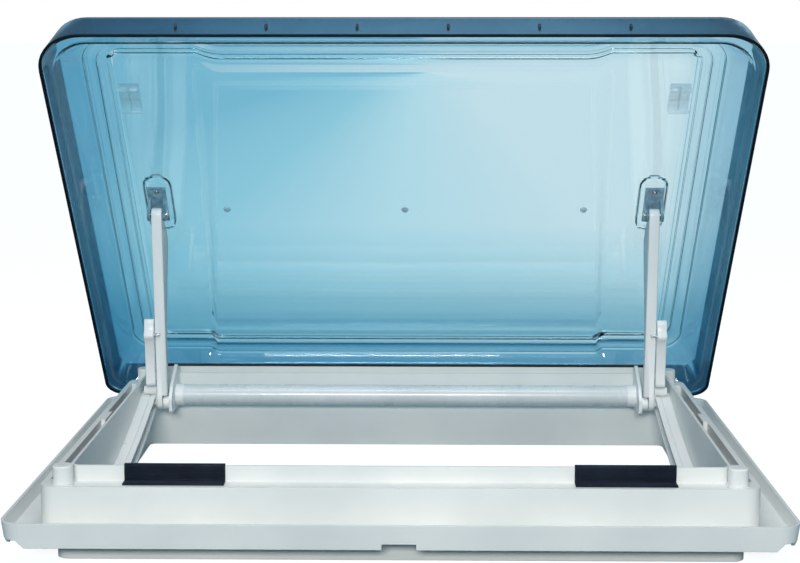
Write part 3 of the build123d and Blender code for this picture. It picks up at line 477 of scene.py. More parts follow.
def screws(name, node, facings, body, radius=0.003, height=0.0012):
    """Screw heads in the place of a CAD node's, each at its head and facing the way given."""
    points, ways = [], []
    for low, high in islands(node):
        way = Vector(facings(low, high)).normalized()
        middle = (low + high) / 2
        reach = sum(abs(w) * (h - l) / 2 for w, l, h in zip(way, low, high))
        if abs(way.y) > 0.01 and abs(way.z) > 0.01:  # a slanted screw's box is larger than it is
            reach = (reach - radius * 2 * abs(way.y * way.z)) / (way.y**2 + way.z**2)
        points.append(middle + way * (reach - height))
        ways.append(way)
    start = points_mesh(points)
    facing = start.attributes.new("facing", "FLOAT_VECTOR", "POINT")
    facing.data.foreach_set("vector", [c for way in ways for c in way])
    mesh = grown(screw_tree, start, {"Head radius": radius, "Head height": height}, screw_steel)
    as_piece(name, mesh, screw_steel, body, [node])


screws("rail_screw_heads", "rail_screws", lambda low, high: (-1 if low.x > 0 else 1, 0, 0), "base")

# ---- rear hinge ----
# Two anodised aluminium leaves with knuckles in turn on one drawn steel pin. The lower leaf is
# screwed to the tray's rear apron and the upper leaf is bonded to the lid's edge.
ALONG_X = (0.05, 1, 1)  # draws a metal's fine lines out along X
hinge_metal = worn_steel("anodised_aluminium", (0.60, 0.61, 0.62), (0.74, 0.75, 0.76), ALONG_X)
dress(hinge_metal, "hinge_base_leaf", "hinge_lid_leaf")
stay_pins = [f"{pin}_pin_{name}" for pin in ("pivot", "lever") for name, _ in SIDES]
pin_steel = worn_steel("pin_steel", (0.45, 0.46, 0.47), (0.66, 0.67, 0.68), ALONG_X)
dress(pin_steel, "hinge_pin", *stay_pins)
screws("hinge_screw_heads", "hinge_screws", lambda low, high: (0, 1, 0), "base")

# ---- outer dome ----
# The weather side of the lid: a thermoformed sheet of tinted acrylic with an upright skirt, round
# shoulders and a slightly crowned top.
LID_LENGTH_X, LID_LENGTH_Y = 0.800, 0.600
FRONT_CORNER, REAR_CORNER = 0.050, 0.022
SHEET = 0.003
PANE_LEVEL = 0.052  # the pane's flat border, above the lid's rim
hinge_joint = joints["lid_hinge"]
open_angle = radians(hinge_joint["range_deg"][1])
hinge_at = Vector(hinge_joint["pos_m"])
LID_RIM = 0.029  # height of the closed lid's rim
opening = Matrix.Rotation(-open_angle, 4, "X")
on_hinge = Matrix.Translation(hinge_at) @ opening @ Matrix.Translation(-hinge_at)
on_lid = on_hinge @ Matrix.Translation((0, 0, LID_RIM))


def ring(half_x, half_y, front, rear, across, along, steps=10):
    """Points round a rounded rectangle, anticlockwise; its straight runs are shared out as given."""
    near, far = front - half_y, half_y - rear
    side = [near + (far - near) * (t + 1) / 2 for t in along]
    points = [(half_x, y) for y in side]
    corners = ((1, 1, 0, rear), (-1, 1, 90, rear), (-1, -1, 180, front), (1, -1, 270, front))
    runs = (
        [((half_x - rear) * t, half_y) for t in reversed(across)],
        [(-half_x, y) for y in reversed(side)],
        [((half_x - front) * t, -half_y) for t in across],
        [],
    )
    for (sx, sy, start, radius), run in zip(corners, runs):
        for i in range(1, steps):
            angle = radians(start + 90 * i / steps)
            x = sx * (half_x - radius) + radius * cos(angle)
            points.append((x, sy * (half_y - radius) + radius * sin(angle)))
        points += run
    return points


def shell(rings, grid, top):
    """Rings of points as one skin, closed by a grid of lines with a height for each point."""
    shape = bmesh.new()
    loops = []
    for points, heights in rings:
        loops.append([shape.verts.new((x, y, z)) for (x, y), z in zip(points, heights)])
    for outer, inner in zip(loops, loops[1:]):
        for i in range(len(outer)):
            j = (i + 1) % len(outer)
            shape.faces.new((outer[i], outer[j], inner[j], inner[i]))
    xs, ys = grid
    table = [[shape.verts.new((x, y, top(x, y))) for y in ys] for x in xs]
    for i in range(len(xs) - 1):
        for j in range(len(ys) - 1):
            shape.faces.new((table[i][j], table[i + 1][j], table[i + 1][j + 1], table[i][j + 1]))
    bmesh.ops.remove_doubles(shape, verts=shape.verts, dist=2e-6)
    bmesh.ops.dissolve_degenerate(shape, edges=shape.edges, dist=SAME_POINT)
    mesh = bpy.data.meshes.new("shell")
    shape.to_mesh(mesh)
    shape.free()
    return mesh


def shares(positions):
    """Positions along a run as shares of its half length."""
    return [p / positions[-1] for p in positions]


def both_ways(positions):
    """Positions on one side of the middle, from 0 outwards, as positions on both sides."""
    return [-p for p in reversed(positions[1:])] + list(positions)


def with_painted_shade(mesh, skirt):
    """Keeps on a lid sheet's points how far in each is, as the value its painted shade follows: from 0 on
    its sides, painted darkest, to 1 well inside, painted lightest.
    """
    values = []
    for v in mesh.vertices:
        side, end = half_x - abs(v.co.x), half_y - abs(v.co.y)
        # painted shade: the skirt band gets the lowest values and is painted darkest; further in, higher
        # values are painted lighter
        if min(side, end) < skirt and v.co.z < SKIRT_TOP:
            away = min(max((side - skirt) / 0.20, 0), 1)
            values.append(0.02 + 0.13 * away)
        else:
            values.append(min(0.22 + min(side, end) / 0.19, 1))
    reach = mesh.attributes.new("reach", "FLOAT", "POINT")
    reach.data.foreach_set("value", values)


def mixed(tree, factor, first, second):
    """Two shaders mixed by a factor."""
    mix = tree.nodes.new("ShaderNodeMixShader")
    for socket, source in zip(mix.inputs, (factor, first, second)):
        tree.links.new(source, socket)
    return mix.outputs["Shader"]


def tinted_acrylic(name, stops, density, tint, scratches=0.012, waviness=0.25):
    """Tinted acrylic sheet: painted shade darker towards its edge and painted light towards its middle, led
    by the sheet's reach; fine scuffs, slow waves.
    """
    material, tree, shader = new_finish(name)
    shader.inputs["Transmission Weight"].default_value = 1.0
    shader.inputs["IOR"].default_value = 1.49
    reach = tree.nodes.new("ShaderNodeAttribute")
    reach.attribute_name = "reach"
    # painted shade and light: the sheet's reach, with a little clouding, picks its colour from the stops
    cloud_and_painted_shade = calculated(tree, "MULTIPLY_ADD", grain(tree, 9, 3), 0.06, reach.outputs["Fac"])
    tones(tree, cloud_and_painted_shade, stops, shader.inputs["Base Color"])
    spread(tree, grain(tree, 55, 6, 0.7), 0.0, scratches, shader.inputs["Roughness"])
    relief(tree, shader, grain(tree, 5, 1), waviness, 0.004)
    pass_light = tree.nodes.new("ShaderNodeBsdfTransparent")
    rays = tree.nodes.new("ShaderNodeLightPath").outputs
    unseen = calculated(tree, "MAXIMUM", rays["Is Shadow Ray"], rays["Is Diffuse Ray"])
    sheet = mixed(tree, unseen, shader.outputs["BSDF"], pass_light.outputs["BSDF"])
    depth = tree.nodes.new("ShaderNodeVolumeAbsorption")
    depth.inputs["Color"].default_value = (*tint, 1)
    depth.inputs["Density"].default_value = density
    out = tree.nodes["Material Output"]
    tree.links.new(sheet, out.inputs["Surface"])
    tree.links.new(depth.outputs["Volume"], out.inputs["Volume"])
    return material


half_x, half_y = LID_LENGTH_X / 2, LID_LENGTH_Y / 2
SKIRT_TOP = 0.0452
DOME_PROFILE = [  # inwards from the lid's edge, and up from its rim, in millimetres
    (0.0, 2.0), (0.6, 6.0), (2.8, 15.0), (5.6, 27.0), (8.0, 37.5), (9.3, 43.2), (9.8, 45.0), (10.9, 46.9),
    (12.6, 48.7), (17.0, 52.4), (22.0, 56.0), (28.0, 59.0), (36.0, 61.2), (46.0, 62.3), (60.0, 62.9),
]
DOME_LEVEL, CROWN = 0.0629, 0.0016
dome_xs = both_ways([0.034 * i for i in range(11)])
dome_ys = both_ways([0.030 * i for i in range(9)])
dome_shares = shares(dome_xs), shares(dome_ys)
dome_rings = []
for inset, height in DOME_PROFILE:
    d = inset / 1000
    left = 1 - inset / DOME_PROFILE[-1][0]
    points = ring(half_x - d, half_y - d, FRONT_CORNER * left, REAR_CORNER * left, *dome_shares)
    dome_rings.append((points, [height / 1000] * len(points)))


def dome_top(x, y):
    """The crown over the top: a little higher in the middle."""
    return DOME_LEVEL + CROWN * (1 - (x / 0.34) ** 2) * (1 - (y / 0.24) ** 2)


dome_mesh = settled(
    shell(dome_rings, (dome_xs, dome_ys), dome_top),
    ("SOLIDIFY", {"thickness": SHEET, "offset": -1, "use_even_offset": True, "use_quality_normals": True}),
)
with_painted_shade(dome_mesh, 0.0125)
dome_mesh.transform(on_lid)
# painted shade and light on the dome: the skirt band painted dark blue, the shoulders mid blue, the top
# painted near white
DOME_SHADE_TONES = [
    (0.02, (0.018, 0.065, 0.105)), (0.08, (0.08, 0.20, 0.29)), (0.15, (0.14, 0.27, 0.38)),
    (0.21, (0.26, 0.42, 0.54)), (0.24, (0.58, 0.72, 0.83)), (0.45, (0.66, 0.81, 0.88)),
    (0.70, (0.93, 0.97, 0.985)),
]
dome_acrylic = tinted_acrylic("dome_acrylic", DOME_SHADE_TONES, 90, (0.085, 0.58, 0.72))
as_piece("moulded_dome", dome_mesh, dome_acrylic, "lid", ["outer_dome"], 50)

# ---- edge trim ----
# A black rubber bead round the dome's lower edge, extruded with a slot and pushed on.
TRIM_PROFILE = [  # inwards from the lid's edge, and up from its rim, in millimetres
    (0.2, 2.6), (-0.3, 2.2), (-0.5, 1.2), (-0.3, 0.3), (0.4, 0.0), (1.8, 0.0), (2.4, 0.5), (2.4, 1.9),
    (2.0, 2.1),
]
trim_shape = bmesh.new()
trim_loops = []
for inset, height in TRIM_PROFILE:
    d = inset / 1000
    points = ring(half_x - d, half_y - d, FRONT_CORNER - d, REAR_CORNER - d, *dome_shares)
    trim_loops.append([trim_shape.verts.new((x, y, height / 1000)) for x, y in points])
for outer, inner in zip(trim_loops, trim_loops[1:] + trim_loops[:1]):
    for i in range(len(outer)):
        j = (i + 1) % len(outer)
        trim_shape.faces.new((outer[i], outer[j], inner[j], inner[i]))
bmesh.ops.recalc_face_normals(trim_shape, faces=trim_shape.faces)
trim_mesh = bpy.data.meshes.new("trim")
trim_shape.to_mesh(trim_mesh)
trim_shape.free()
trim_mesh.transform(on_lid)
trim_rubber = extruded_rubber("trim_rubber", (0.002, 0.004, 0.008), (0.006, 0.009, 0.014), "X")
as_piece("edge_trim", trim_mesh, trim_rubber, "lid", ["rim_trim"])

# ---- inner pane ----
# The inside sheet of the double wall, lightly tinted: a flange bonded to the dome, sloped sides with
# a stepped border, a sunk middle and two long pockets that give the arms' brackets room.
PANE_PROFILE = [  # inwards from the lid's edge at its sides and its ends, and up from its rim, in mm
    (4.0, 4.0, 2.2), (10.0, 10.0, 2.2), (13.0, 13.0, 2.8), (15.0, 15.0, 4.6), (17.5, 17.5, 8.4),
    (28.0, 30.0, 30.0), (34.0, 37.0, 42.0), (36.0, 40.0, 45.0), (37.6, 42.6, 46.4), (38.4, 43.6, 46.4),
    (38.9, 44.2, 49.7), (40.4, 46.0, 50.2), (50.0, 52.6, 50.6), (53.0, 54.8, 50.7), (53.6, 55.4, 52.7),
    (55.2, 57.0, 53.0), (62.0, 60.6, 52.8), (64.0, 61.8, 52.6), (64.5, 62.3, 54.6), (66.6, 64.2, 54.6),
    (67.1, 64.7, 52.4), (70.0, 70.0, 52.0),
]
PANEL_FRONT, PANEL_REAR, PANEL_SINK, STEP_SHIFT = -0.226, 0.222, 0.008, 0.0085
POCKET_HALF_X, POCKET_HALF_Y, POCKET_DEEP, POCKET_INWARDS = 0.0155, 0.0425, 0.006, 0.0025
arm_x = (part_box("arm_right")[0].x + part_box("arm_right")[1].x) / 2
pivot_lid = on_lid.inverted() @ Vector(joints["stay_pivot"]["pos_m"])
pocket_y = pivot_lid.y - 0.0075


def outside(x, y, half_w, half_l, corner):
    """How far a point is outside a rounded rectangle; negative inside."""
    qx, qy = abs(x) - half_w + corner, abs(y) - half_l + corner
    return sqrt(max(qx, 0) ** 2 + max(qy, 0) ** 2) + min(max(qx, qy), 0) - corner


def eased(t):
    """A smooth step from 0 to 1."""
    t = min(max(t, 0), 1)
    return t * t * (3 - 2 * t)


def panel_share(x, y):
    """0 beside the sunk panel, 1 on it: a fold along its outer line, then a soft run to its floor."""
    along = (y + half_y) / LID_LENGTH_Y
    fold, floor_line = 0.231 + 0.028 * along, 0.199 + 0.060 * along
    share = min(max((fold - abs(x)) / (fold - floor_line), 0), 1)
    return share * (2 - share)


def pane_top(x, y):
    """The pane's inner face over its flat part: sunk in the middle, raised into the pockets."""
    ends = eased((y - PANEL_FRONT) / 0.030) * eased((PANEL_REAR - y) / 0.030)
    height = PANE_LEVEL - PANEL_SINK * panel_share(x, y) * ends
    across, along = abs(x) - arm_x + POCKET_INWARDS, y - pocket_y
    wall = outside(across, along, POCKET_HALF_X, POCKET_HALF_Y, POCKET_HALF_X - 0.0005)
    return height + POCKET_DEEP * eased(-wall / 0.0016)


# the grid's lines lie closer together along the panel's folds, the pockets' walls and the steps
pane_xs = both_ways(
    [0, 0.02, 0.04, 0.06, 0.08, 0.1, 0.12, 0.14, 0.16, 0.18, 0.192]
    + [0.199 + 0.004 * i for i in range(16)]
    + [0.263, 0.268, 0.274, 0.279, 0.283, 0.2848]
    + [0.2860 + 0.0006 * i for i in range(4)]
    + [0.2895, 0.293, 0.297, 0.3015, 0.306, 0.31, 0.3135]
    + [0.3152 + 0.0006 * i for i in range(4)]
    + [0.3182, 0.3205, 0.325, 0.33]
)
pane_ys = sorted(
    [-0.23, -0.227, -0.2245, -0.2225, -0.2205, -0.2185, -0.2165, -0.214, -0.21, -0.204, -0.196, -0.188]
    + [0.23, 0.227, 0.2245, 0.2225, 0.2205, 0.2185, 0.2165, 0.214, 0.21, 0.204, 0.196, 0.188]
    + [-0.17 + 0.02 * i for i in range(6)]
    + [0.055 + 0.02 * i for i in range(6)]
    + [-0.058, -0.052, -0.048, -0.046, -0.0444, -0.0428, -0.041, -0.039, -0.036, -0.032, -0.028, -0.022]
    + [0.05, 0.046, 0.043, 0.0412, 0.0396, 0.038, 0.0362, 0.034, 0.031, 0.027, 0.022, 0.017]
    + [-0.014, -0.006, 0.002, 0.01]
)
pane_shares = shares(pane_xs), [y / 0.23 for y in pane_ys]
pane_rings = []
for inset, end, height in PANE_PROFILE:
    d = inset / 1000
    front, rear = FRONT_CORNER - d / 2, REAR_CORNER + 0.008 * eased(d / 0.03)
    flat = 1 - eased((d - 0.064) / 0.006)
    points = ring(half_x - d, half_y - end / 1000, front * flat, rear * flat, *pane_shares)
    heights = [height / 1000] * len(points)
    if inset == PANE_PROFILE[-1][0]:
        heights = [pane_top(x, y) for x, y in points]
    pane_rings.append((points, heights))
pane_mesh = settled(
    shell(pane_rings, (pane_xs, pane_ys), pane_top),
    ("SOLIDIFY", {"thickness": SHEET - 0.0002, "offset": 1, "use_quality_normals": True}),
)
with_painted_shade(pane_mesh, 0.0)
for v in pane_mesh.vertices:  # the steps across both ends stand further back over the sunk panel
    far = abs(v.co.y)
    share = eased((far - 0.185) / 0.04) * eased((0.279 - far) / 0.02)
    v.co.y += STEP_SHIFT * panel_share(v.co.x, v.co.y) * share
pane_mesh.transform(on_lid)
# painted shade and light on the pane: its border painted a deeper blue, its middle painted near white
PANE_SHADE_TONES = [(0.22, (0.66, 0.80, 0.87)), (0.45, (0.78, 0.89, 0.93)), (0.65, (0.96, 0.985, 0.99))]
pane_acrylic = tinted_acrylic("pane_acrylic", PANE_SHADE_TONES, 45, (0.20, 0.75, 0.86), 0.02, 0.35)
as_piece("stepped_pane", pane_mesh, pane_acrylic, "lid", ["inner_pane"], 50)

# ---- dome spacers and vent plugs ----
# Small dark plastic tabs hold the two sheets apart along the free edge. Three stepped plugs of clear
# plastic close the vents of the double wall. Geometry Nodes repeat both at points.
tab_tree, tab_in, tab_out = node_group("spacer_tabs", {"Tab size": "Vector", "Tilt": "Float"})
tab_block = tab_tree.nodes.new("GeometryNodeMeshCube")
for axis in "XYZ":
    tab_block.inputs[f"Vertices {axis}"].default_value = 3
tab_round = tab_tree.nodes.new("GeometryNodeSubdivisionSurface")
tab_round.inputs["Level"].default_value = 2
tab_turn = tab_tree.nodes.new("ShaderNodeCombineXYZ")
linked(tab_tree, tab_in, tab_block, "Tab size", "Size")
linked(tab_tree, tab_block, tab_round, "Mesh", "Mesh")
linked(tab_tree, tab_in, tab_turn, "Tilt", "X")
copied_on_points(tab_tree, tab_in, tab_out, tab_round.outputs["Mesh"], tab_turn.outputs["Vector"])


def dark_plastic(name, dark, light):
    """Dark moulded plastic with a faint grain."""
    material, tree, shader = new_finish(name)
    tones(tree, grain(tree, 200, 3), [(0.35, dark), (0.65, light)], shader.inputs["Base Color"])
    spread(tree, grain(tree, 150), 0.38, 0.55, shader.inputs["Roughness"])
    relief(tree, shader, grain(tree, 1200, 2), 0.3, 0.0001)
    return material


tab_plastic = dark_plastic("tab_plastic", (0.012, 0.022, 0.04), (0.03, 0.05, 0.08))
TAB_SIZE = (0.0034, 0.0094, 0.0066)
tab_rise = on_lid.to_3x3() @ Vector((0, 0, 0.009))
tab_points = [(low + high) / 2 + tab_rise for low, high in islands("dome_spacers")]
tab_values = {"Tab size": TAB_SIZE, "Tilt": -open_angle}
tab_mesh = grown(tab_tree, points_mesh(tab_points), tab_values, tab_plastic)
as_piece("spacer_tabs", tab_mesh, tab_plastic, "lid", ["dome_spacers"])

plug_tree, plug_in, plug_out = node_group(
    "stepped_plugs", {"Plug radius": "Float", "Step": "Float", "Tilt": "Float"}
)
PLUG_DRAFT = 0.86  # each disc's narrow face, as a share of its wide one
plug_turn = plug_tree.nodes.new("ShaderNodeCombineXYZ")
plug_join = plug_tree.nodes.new("GeometryNodeJoinGeometry")
for share, lift in ((1.0, 0.0), (0.5, -1.0)):
    disc = plug_tree.nodes.new("GeometryNodeMeshCone")
    disc.inputs["Vertices"].default_value = 32
    disc.inputs["Side Segments"].default_value = 3
    place = plug_tree.nodes.new("ShaderNodeCombineXYZ")
    shift = plug_tree.nodes.new("GeometryNodeTransform")
    for source, factor, target in (
        ("Plug radius", share, disc.inputs["Radius Top"]),
        ("Plug radius", share * PLUG_DRAFT, disc.inputs["Radius Bottom"]),
        ("Step", lift, place.inputs["Z"]),
    ):
        scaled = calculated(plug_tree, "MULTIPLY", plug_in.outputs[source], factor)
        plug_tree.links.new(scaled, target)
    linked(plug_tree, plug_in, disc, "Step", "Depth")
    linked(plug_tree, disc, shift, "Mesh", "Geometry")
    linked(plug_tree, place, shift, "Vector", "Translation")
    linked(plug_tree, shift, plug_join, "Geometry", "Geometry")
linked(plug_tree, plug_in, plug_turn, "Tilt", "X")
copied_on_points(
    plug_tree, plug_in, plug_out, plug_join.outputs["Geometry"], plug_turn.outputs["Vector"]
)


def clear_plastic(name, dark, light, see_through):
    """Clear moulded plastic, a little milky where the value for it is high."""
    material, tree, shader = new_finish(name)
    tones(tree, grain(tree, 120, 3), [(0.35, dark), (0.65, light)], shader.inputs["Base Color"])
    spread(tree, grain(tree, 90), 0.10, 0.2, shader.inputs["Roughness"])
    spread(tree, grain(tree, 60), see_through - 0.04, see_through + 0.04, shader.inputs["Alpha"])
    relief(tree, shader, grain(tree, 500, 2), 0.15, 0.0001)
    return material


plug_plastic = clear_plastic("plug_plastic", (0.40, 0.58, 0.68), (0.55, 0.72, 0.80), 0.4)
PLUG_RADIUS, PLUG_STEP, PLUG_PITCH = 0.0045, 0.0015, 0.218
plug_height = PANE_LEVEL - PANEL_SINK - PLUG_STEP
plug_points = [on_lid @ Vector((PLUG_PITCH * i, 0, plug_height)) for i in (-1, 0, 1)]
plug_values = {"Plug radius": PLUG_RADIUS, "Step": PLUG_STEP, "Tilt": -open_angle}
plug_mesh = grown(plug_tree, points_mesh(plug_points), plug_values, plug_plastic)
as_piece("stepped_plugs", plug_mesh, plug_plastic, "lid", ["vent_plugs"])

# ---- clips on the pane ----
# Two clips of clear plastic near the free edge, each moulded in one: a foot, a hooked cheek at each
# end and a thin rib down its middle.
clip_plastic = clear_plastic("clip_plastic", (0.30, 0.52, 0.64), (0.50, 0.72, 0.82), 0.20)


def on_the_lid(y, h):
    """A point of the lid's side plane as the frame's Y and Z: y back from its middle, h up from its rim."""
    there = on_lid @ Vector((0, y, h))
    return there.y, there.z


CLIP_HALF = [  # from the clip's middle towards an end, and down from the pane, in metres
    (0.019, 0), (0.019, 0.0095), (0.0165, 0.012), (0.0145, 0.012), (0.0135, 0.010), (0.0165, 0.0035),
    (0.0145, 0.002),
]
RIB_HALF = [(0.0165, 0.002), (0.0165, 0.006), (0.012, 0.0035)]
CLIP_RIB = 0.0012  # half of the rib's thickness


def both_ends(half, middle, top):
    """Half an outline and its mirror image, about a middle and down from a top."""
    near = [(middle - y, top - down) for y, down in half]
    return near + [(middle + y, top - down) for y, down in reversed(half)]


soft = ("BEVEL", {"width": 0.0006, "segments": 2, "limit_method": "ANGLE"})
for name, _ in SIDES:
    low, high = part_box(f"clip_{name}")
    middle = on_lid.inverted() @ ((low + high) / 2)
    outline, rib = (both_ends(half, middle.y, PANE_LEVEL) for half in (CLIP_HALF, RIB_HALF))
    cheeks = settled(side_profile(outline, low.x, high.x, on_the_lid), soft)
    web = settled(side_profile(rib, middle.x - CLIP_RIB, middle.x + CLIP_RIB, on_the_lid), soft)
    clip_mesh = joined(cheeks, web)
    as_piece(f"clear_clip_{name}", clip_mesh, clip_plastic, "lid", [f"clip_{name}"])

# ---- pivot brackets in the pockets ----
# Forks of clear plastic, moulded, screwed into the pane's pockets; their dark blue is painted shade of the
# pockets. They carry the arms' pins.
stay_finish = moulded_white("stay_white", (0.86, 0.88, 0.88), (0.93, 0.94, 0.935), 800, (0.26, 0.38), 0.0008)
dress(stay_finish, "bow_plate_left", "bow_plate_right")
shaded_bracket_finish = clear_plastic("bracket_plastic_and_shade", (0.10, 0.24, 0.34), (0.30, 0.50, 0.62), 0.72)
dress(shaded_bracket_finish, "bracket_left", "bracket_right")
lid_inwards = on_lid.to_3x3() @ Vector((0, 0, -1))
screws("bracket_screw_heads", "bracket_screws", lambda low, high: lid_inwards, "lid")

# ---- arms and release levers ----
# Each arm is one moulding: a bar, a gusset behind its inner edge and a half-thick tongue at its foot. A
# thumb lever is pinned to the outer side of each arm.
pivot_at = Vector(joints["stay_pivot"]["pos_m"])
foot_at = Vector(joints["foot_pivot"]["pos_m"])
arm_length = (foot_at - pivot_at).length
up_arm = (pivot_at - foot_at).normalized()
arm_rear = Vector((0, -up_arm.z, up_arm.y)) * -1
PIN_HOLE = 0.003
TONGUE = 0.0065
LEVER_GAP, LEVER_TRIM = 0.0004, 0.0012


def on_the_arm(y, u):
    """A point beside an arm as the frame's Y and Z: y behind it, u up it from the pivot."""
    there = pivot_at + arm_rear * y + up_arm * u
    return there.y, there.z


def arc(cy, cu, radius, start, end, steps=8):
    """Points of an arc in an arm's plane, in degrees from the rear, counted towards the top."""
    angles = [radians(start + (end - start) * i / steps) for i in range(steps + 1)]
    return [(cy + radius * cos(a), cu + radius * sin(a)) for a in angles]


def with_tools(mesh, operation, tool_meshes):
    """A mesh joined to or cut by closed tool meshes, one after another."""
    tools = []
    for tool_mesh in tool_meshes:
        tool = bpy.data.objects.new("tool", tool_mesh)
        bpy.context.scene.collection.objects.link(tool)
        tools.append(tool)
    settings = {"operation": operation, "solver": "EXACT"}
    result = settled(mesh, *[("BOOLEAN", {**settings, "object": tool}) for tool in tools])
    for tool in tools:
        bpy.data.objects.remove(tool)
    return result


def drilled(mesh, holes):
    """A mesh with round holes across it; each is (y, z, radius, x0, x1)."""
    drills = bmesh.new()
    for y, z, radius, x0, x1 in holes:
        place = Matrix.Translation(((x0 + x1) / 2, y, z)) @ Matrix.Rotation(pi / 2, 4, "Y")
        size = {"radius1": radius, "radius2": radius, "depth": abs(x1 - x0)}
        bmesh.ops.create_cone(drills, cap_ends=True, segments=28, matrix=place, **size)
    drill_mesh = bpy.data.meshes.new("drill")
    drills.to_mesh(drill_mesh)
    drills.free()
    return with_tools(mesh, "DIFFERENCE", [drill_mesh])


HALF = 0.008
GUSSET = 0.003
PAST = 0.002  # how far a drill runs past the moulding
LEVER_Y, LEVER_U, LEVER_HALF, LEVER_PIN = -0.0085, -0.150, 0.0045, 0.002
LEVER_TOP, LEVER_BOTTOM = -0.130, -0.215
body_end = -(arm_length - HALF - 0.002)
lever_hole = on_the_arm(LEVER_Y, LEVER_U)
by_angle = {"limit_method": "ANGLE", "angle_limit": radians(40)}
round_edges = ("BEVEL", {"width": 0.0014, "segments": 3, **by_angle})
web_edges = ("BEVEL", {"width": 0.0007, "segments": 2, **by_angle})
taper = [(HALF, -0.03), (HALF - 0.0006, -0.12), (HALF - 0.0012, body_end)]
bar = arc(0, 0, HALF, 0, 180, 12) + [(-y, u) for y, u in taper] + taper[::-1]
web = [
    (0.002, -0.004), (HALF, -0.0045), (0.019, -0.014), (0.030, -0.026), (0.0365, -0.036), (0.038, -0.041),
    (0.037, -0.048), (0.031, -0.066), (0.022, -0.094), (0.013, -0.124), (HALF, -0.150), (0.002, -0.150),
]
tongue = arc(0, -arm_length, HALF, 180, 360, 12)
tongue += [(HALF - 0.0012, body_end + 0.004), (-HALF + 0.0012, body_end + 0.004)]
front, back = LEVER_Y - LEVER_HALF, LEVER_Y + LEVER_HALF
grip = [(back, LEVER_TOP - 0.004), (back - 0.003, LEVER_TOP), (front + 0.004, LEVER_TOP)]
grip += [(front, LEVER_TOP - 0.004), (front - 0.0005, LEVER_U + 0.008)]
grip += arc(LEVER_Y - 0.0042, LEVER_U, 0.0054, 130, 230, 6)
grip += [(front - 0.0002, LEVER_U - 0.009), (front + 0.001, LEVER_BOTTOM + 0.012)]
grip += [(front - 0.0005, LEVER_BOTTOM + 0.004), (front + 0.002, LEVER_BOTTOM)]
grip += [(back - 0.0025, LEVER_BOTTOM), (back, LEVER_BOTTOM + 0.003)]
for name, side in SIDES:
    low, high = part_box(f"arm_{name}")
    inner, outer = (low.x, high.x) if side > 0 else (high.x, low.x)
    past_inner, past_outer = inner - side * PAST, outer + side * PAST
    bar_mesh = settled(side_profile(bar, inner, outer, on_the_arm), round_edges)
    web_mesh = settled(side_profile(web, inner, inner + side * GUSSET, on_the_arm), web_edges)
    foot_mesh = settled(side_profile(tongue, outer - side * TONGUE, outer, on_the_arm), web_edges)
    arm_mesh = with_tools(bar_mesh, "UNION", [web_mesh, foot_mesh])
    holes = [(at.y, at.z, PIN_HOLE, past_inner, past_outer) for at in (pivot_at, foot_at)]
    holes.append((*lever_hole, LEVER_PIN, outer - side * 0.0066, past_outer))
    arm_mesh = drilled(arm_mesh, holes)
    as_piece(f"moulded_arm_{name}", arm_mesh, stay_finish, "arms", [f"arm_{name}"])

    low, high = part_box(f"lever_{name}")
    near, far = outer + side * LEVER_GAP, (high.x if side > 0 else low.x) - side * LEVER_TRIM
    lever = f"lever_{name}"
    lever_mesh = settled(side_profile(grip, near, far, on_the_arm), round_edges)
    lever_mesh = drilled(lever_mesh, [(*lever_hole, LEVER_PIN, near - side * PAST, far + side * PAST)])
    as_piece(f"thumb_{lever}", lever_mesh, stay_finish, lever, [lever])

# ---- bow: crossbar, caps, side plates, sliders ----
# A powder-coated aluminium tube between two moulded end caps and leaf-shaped side plates. Each end
# has a sliding shoe of white nylon on the foot's pin, and a roller on a link above it.


def powder_coat(name, dark, light):
    """White powder coat: orange-peel waves under a clear gloss."""
    material, tree, shader = new_finish(name)
    shader.inputs["Coat Weight"].default_value = 0.25
    shader.inputs["Coat Roughness"].default_value = 0.12
    tones(tree, grain(tree, 12, 4), [(0.35, dark), (0.65, light)], shader.inputs["Base Color"])
    spread(tree, grain(tree, 70, 4), 0.24, 0.34, shader.inputs["Roughness"])
    relief(tree, shader, grain(tree, 420, 2), 0.12, 0.0002)
    return material


dress(powder_coat("tube_white", (0.70, 0.74, 0.76), (0.80, 0.83, 0.84)), "crossbar")
dress(stay_finish, "bar_cap_left", "bar_cap_right")
dress(
    moulded_white("slider_white", (0.78, 0.81, 0.82), (0.87, 0.89, 0.89), 1000, (0.4, 0.52), 0.0006),
    "slider_left",
    "slider_right",
)
screws("bow_screw_heads", "bow_screws", lambda low, high: (1 if low.x > 0 else -1, 0, 0), "bow")

# ---- floor, light and camera ----
# A plain pale floor, a soft lamp in front and above, a weaker one overhead, and an even sky. Through the
# clear lid the floor and the sky glow with painted shade: a blue that fades to white.
FLOOR_REACH, FLOOR_DROP = 400.0, 0.0004
FLOOR_SEEN = 0.92
edge, ground = FLOOR_REACH, cad_low.z - FLOOR_DROP
floor_corners = [(-edge, -edge, ground), (edge, -edge, ground), (edge, edge, ground), (-edge, edge, ground)]
floor_mesh = bpy.data.meshes.new("floor")
floor_mesh.from_pydata(floor_corners, [], [(0, 1, 2, 3)])
floor = bpy.data.objects.new("floor", floor_mesh)
bpy.context.scene.collection.objects.link(floor)
floor_finish, floor_tree, floor_shader = new_finish("pale_floor")
floor_shader.inputs["Roughness"].default_value = 0.9
floor_shader.inputs["Specular IOR Level"].default_value = 0.1
floor_tones = [(0.3, (0.19, 0.31, 0.37)), (0.7, (0.21, 0.33, 0.39))]
tones(floor_tree, grain(floor_tree, 3), floor_tones, floor_shader.inputs["Base Color"])


def axes(tree, coordinates):
    """X, Y and Z of a tree's coordinates of one kind."""
    place = tree.nodes.new("ShaderNodeTexCoord")
    parts = tree.nodes.new("ShaderNodeSeparateXYZ")
    tree.links.new(place.outputs[coordinates], parts.inputs[0])
    return parts.outputs


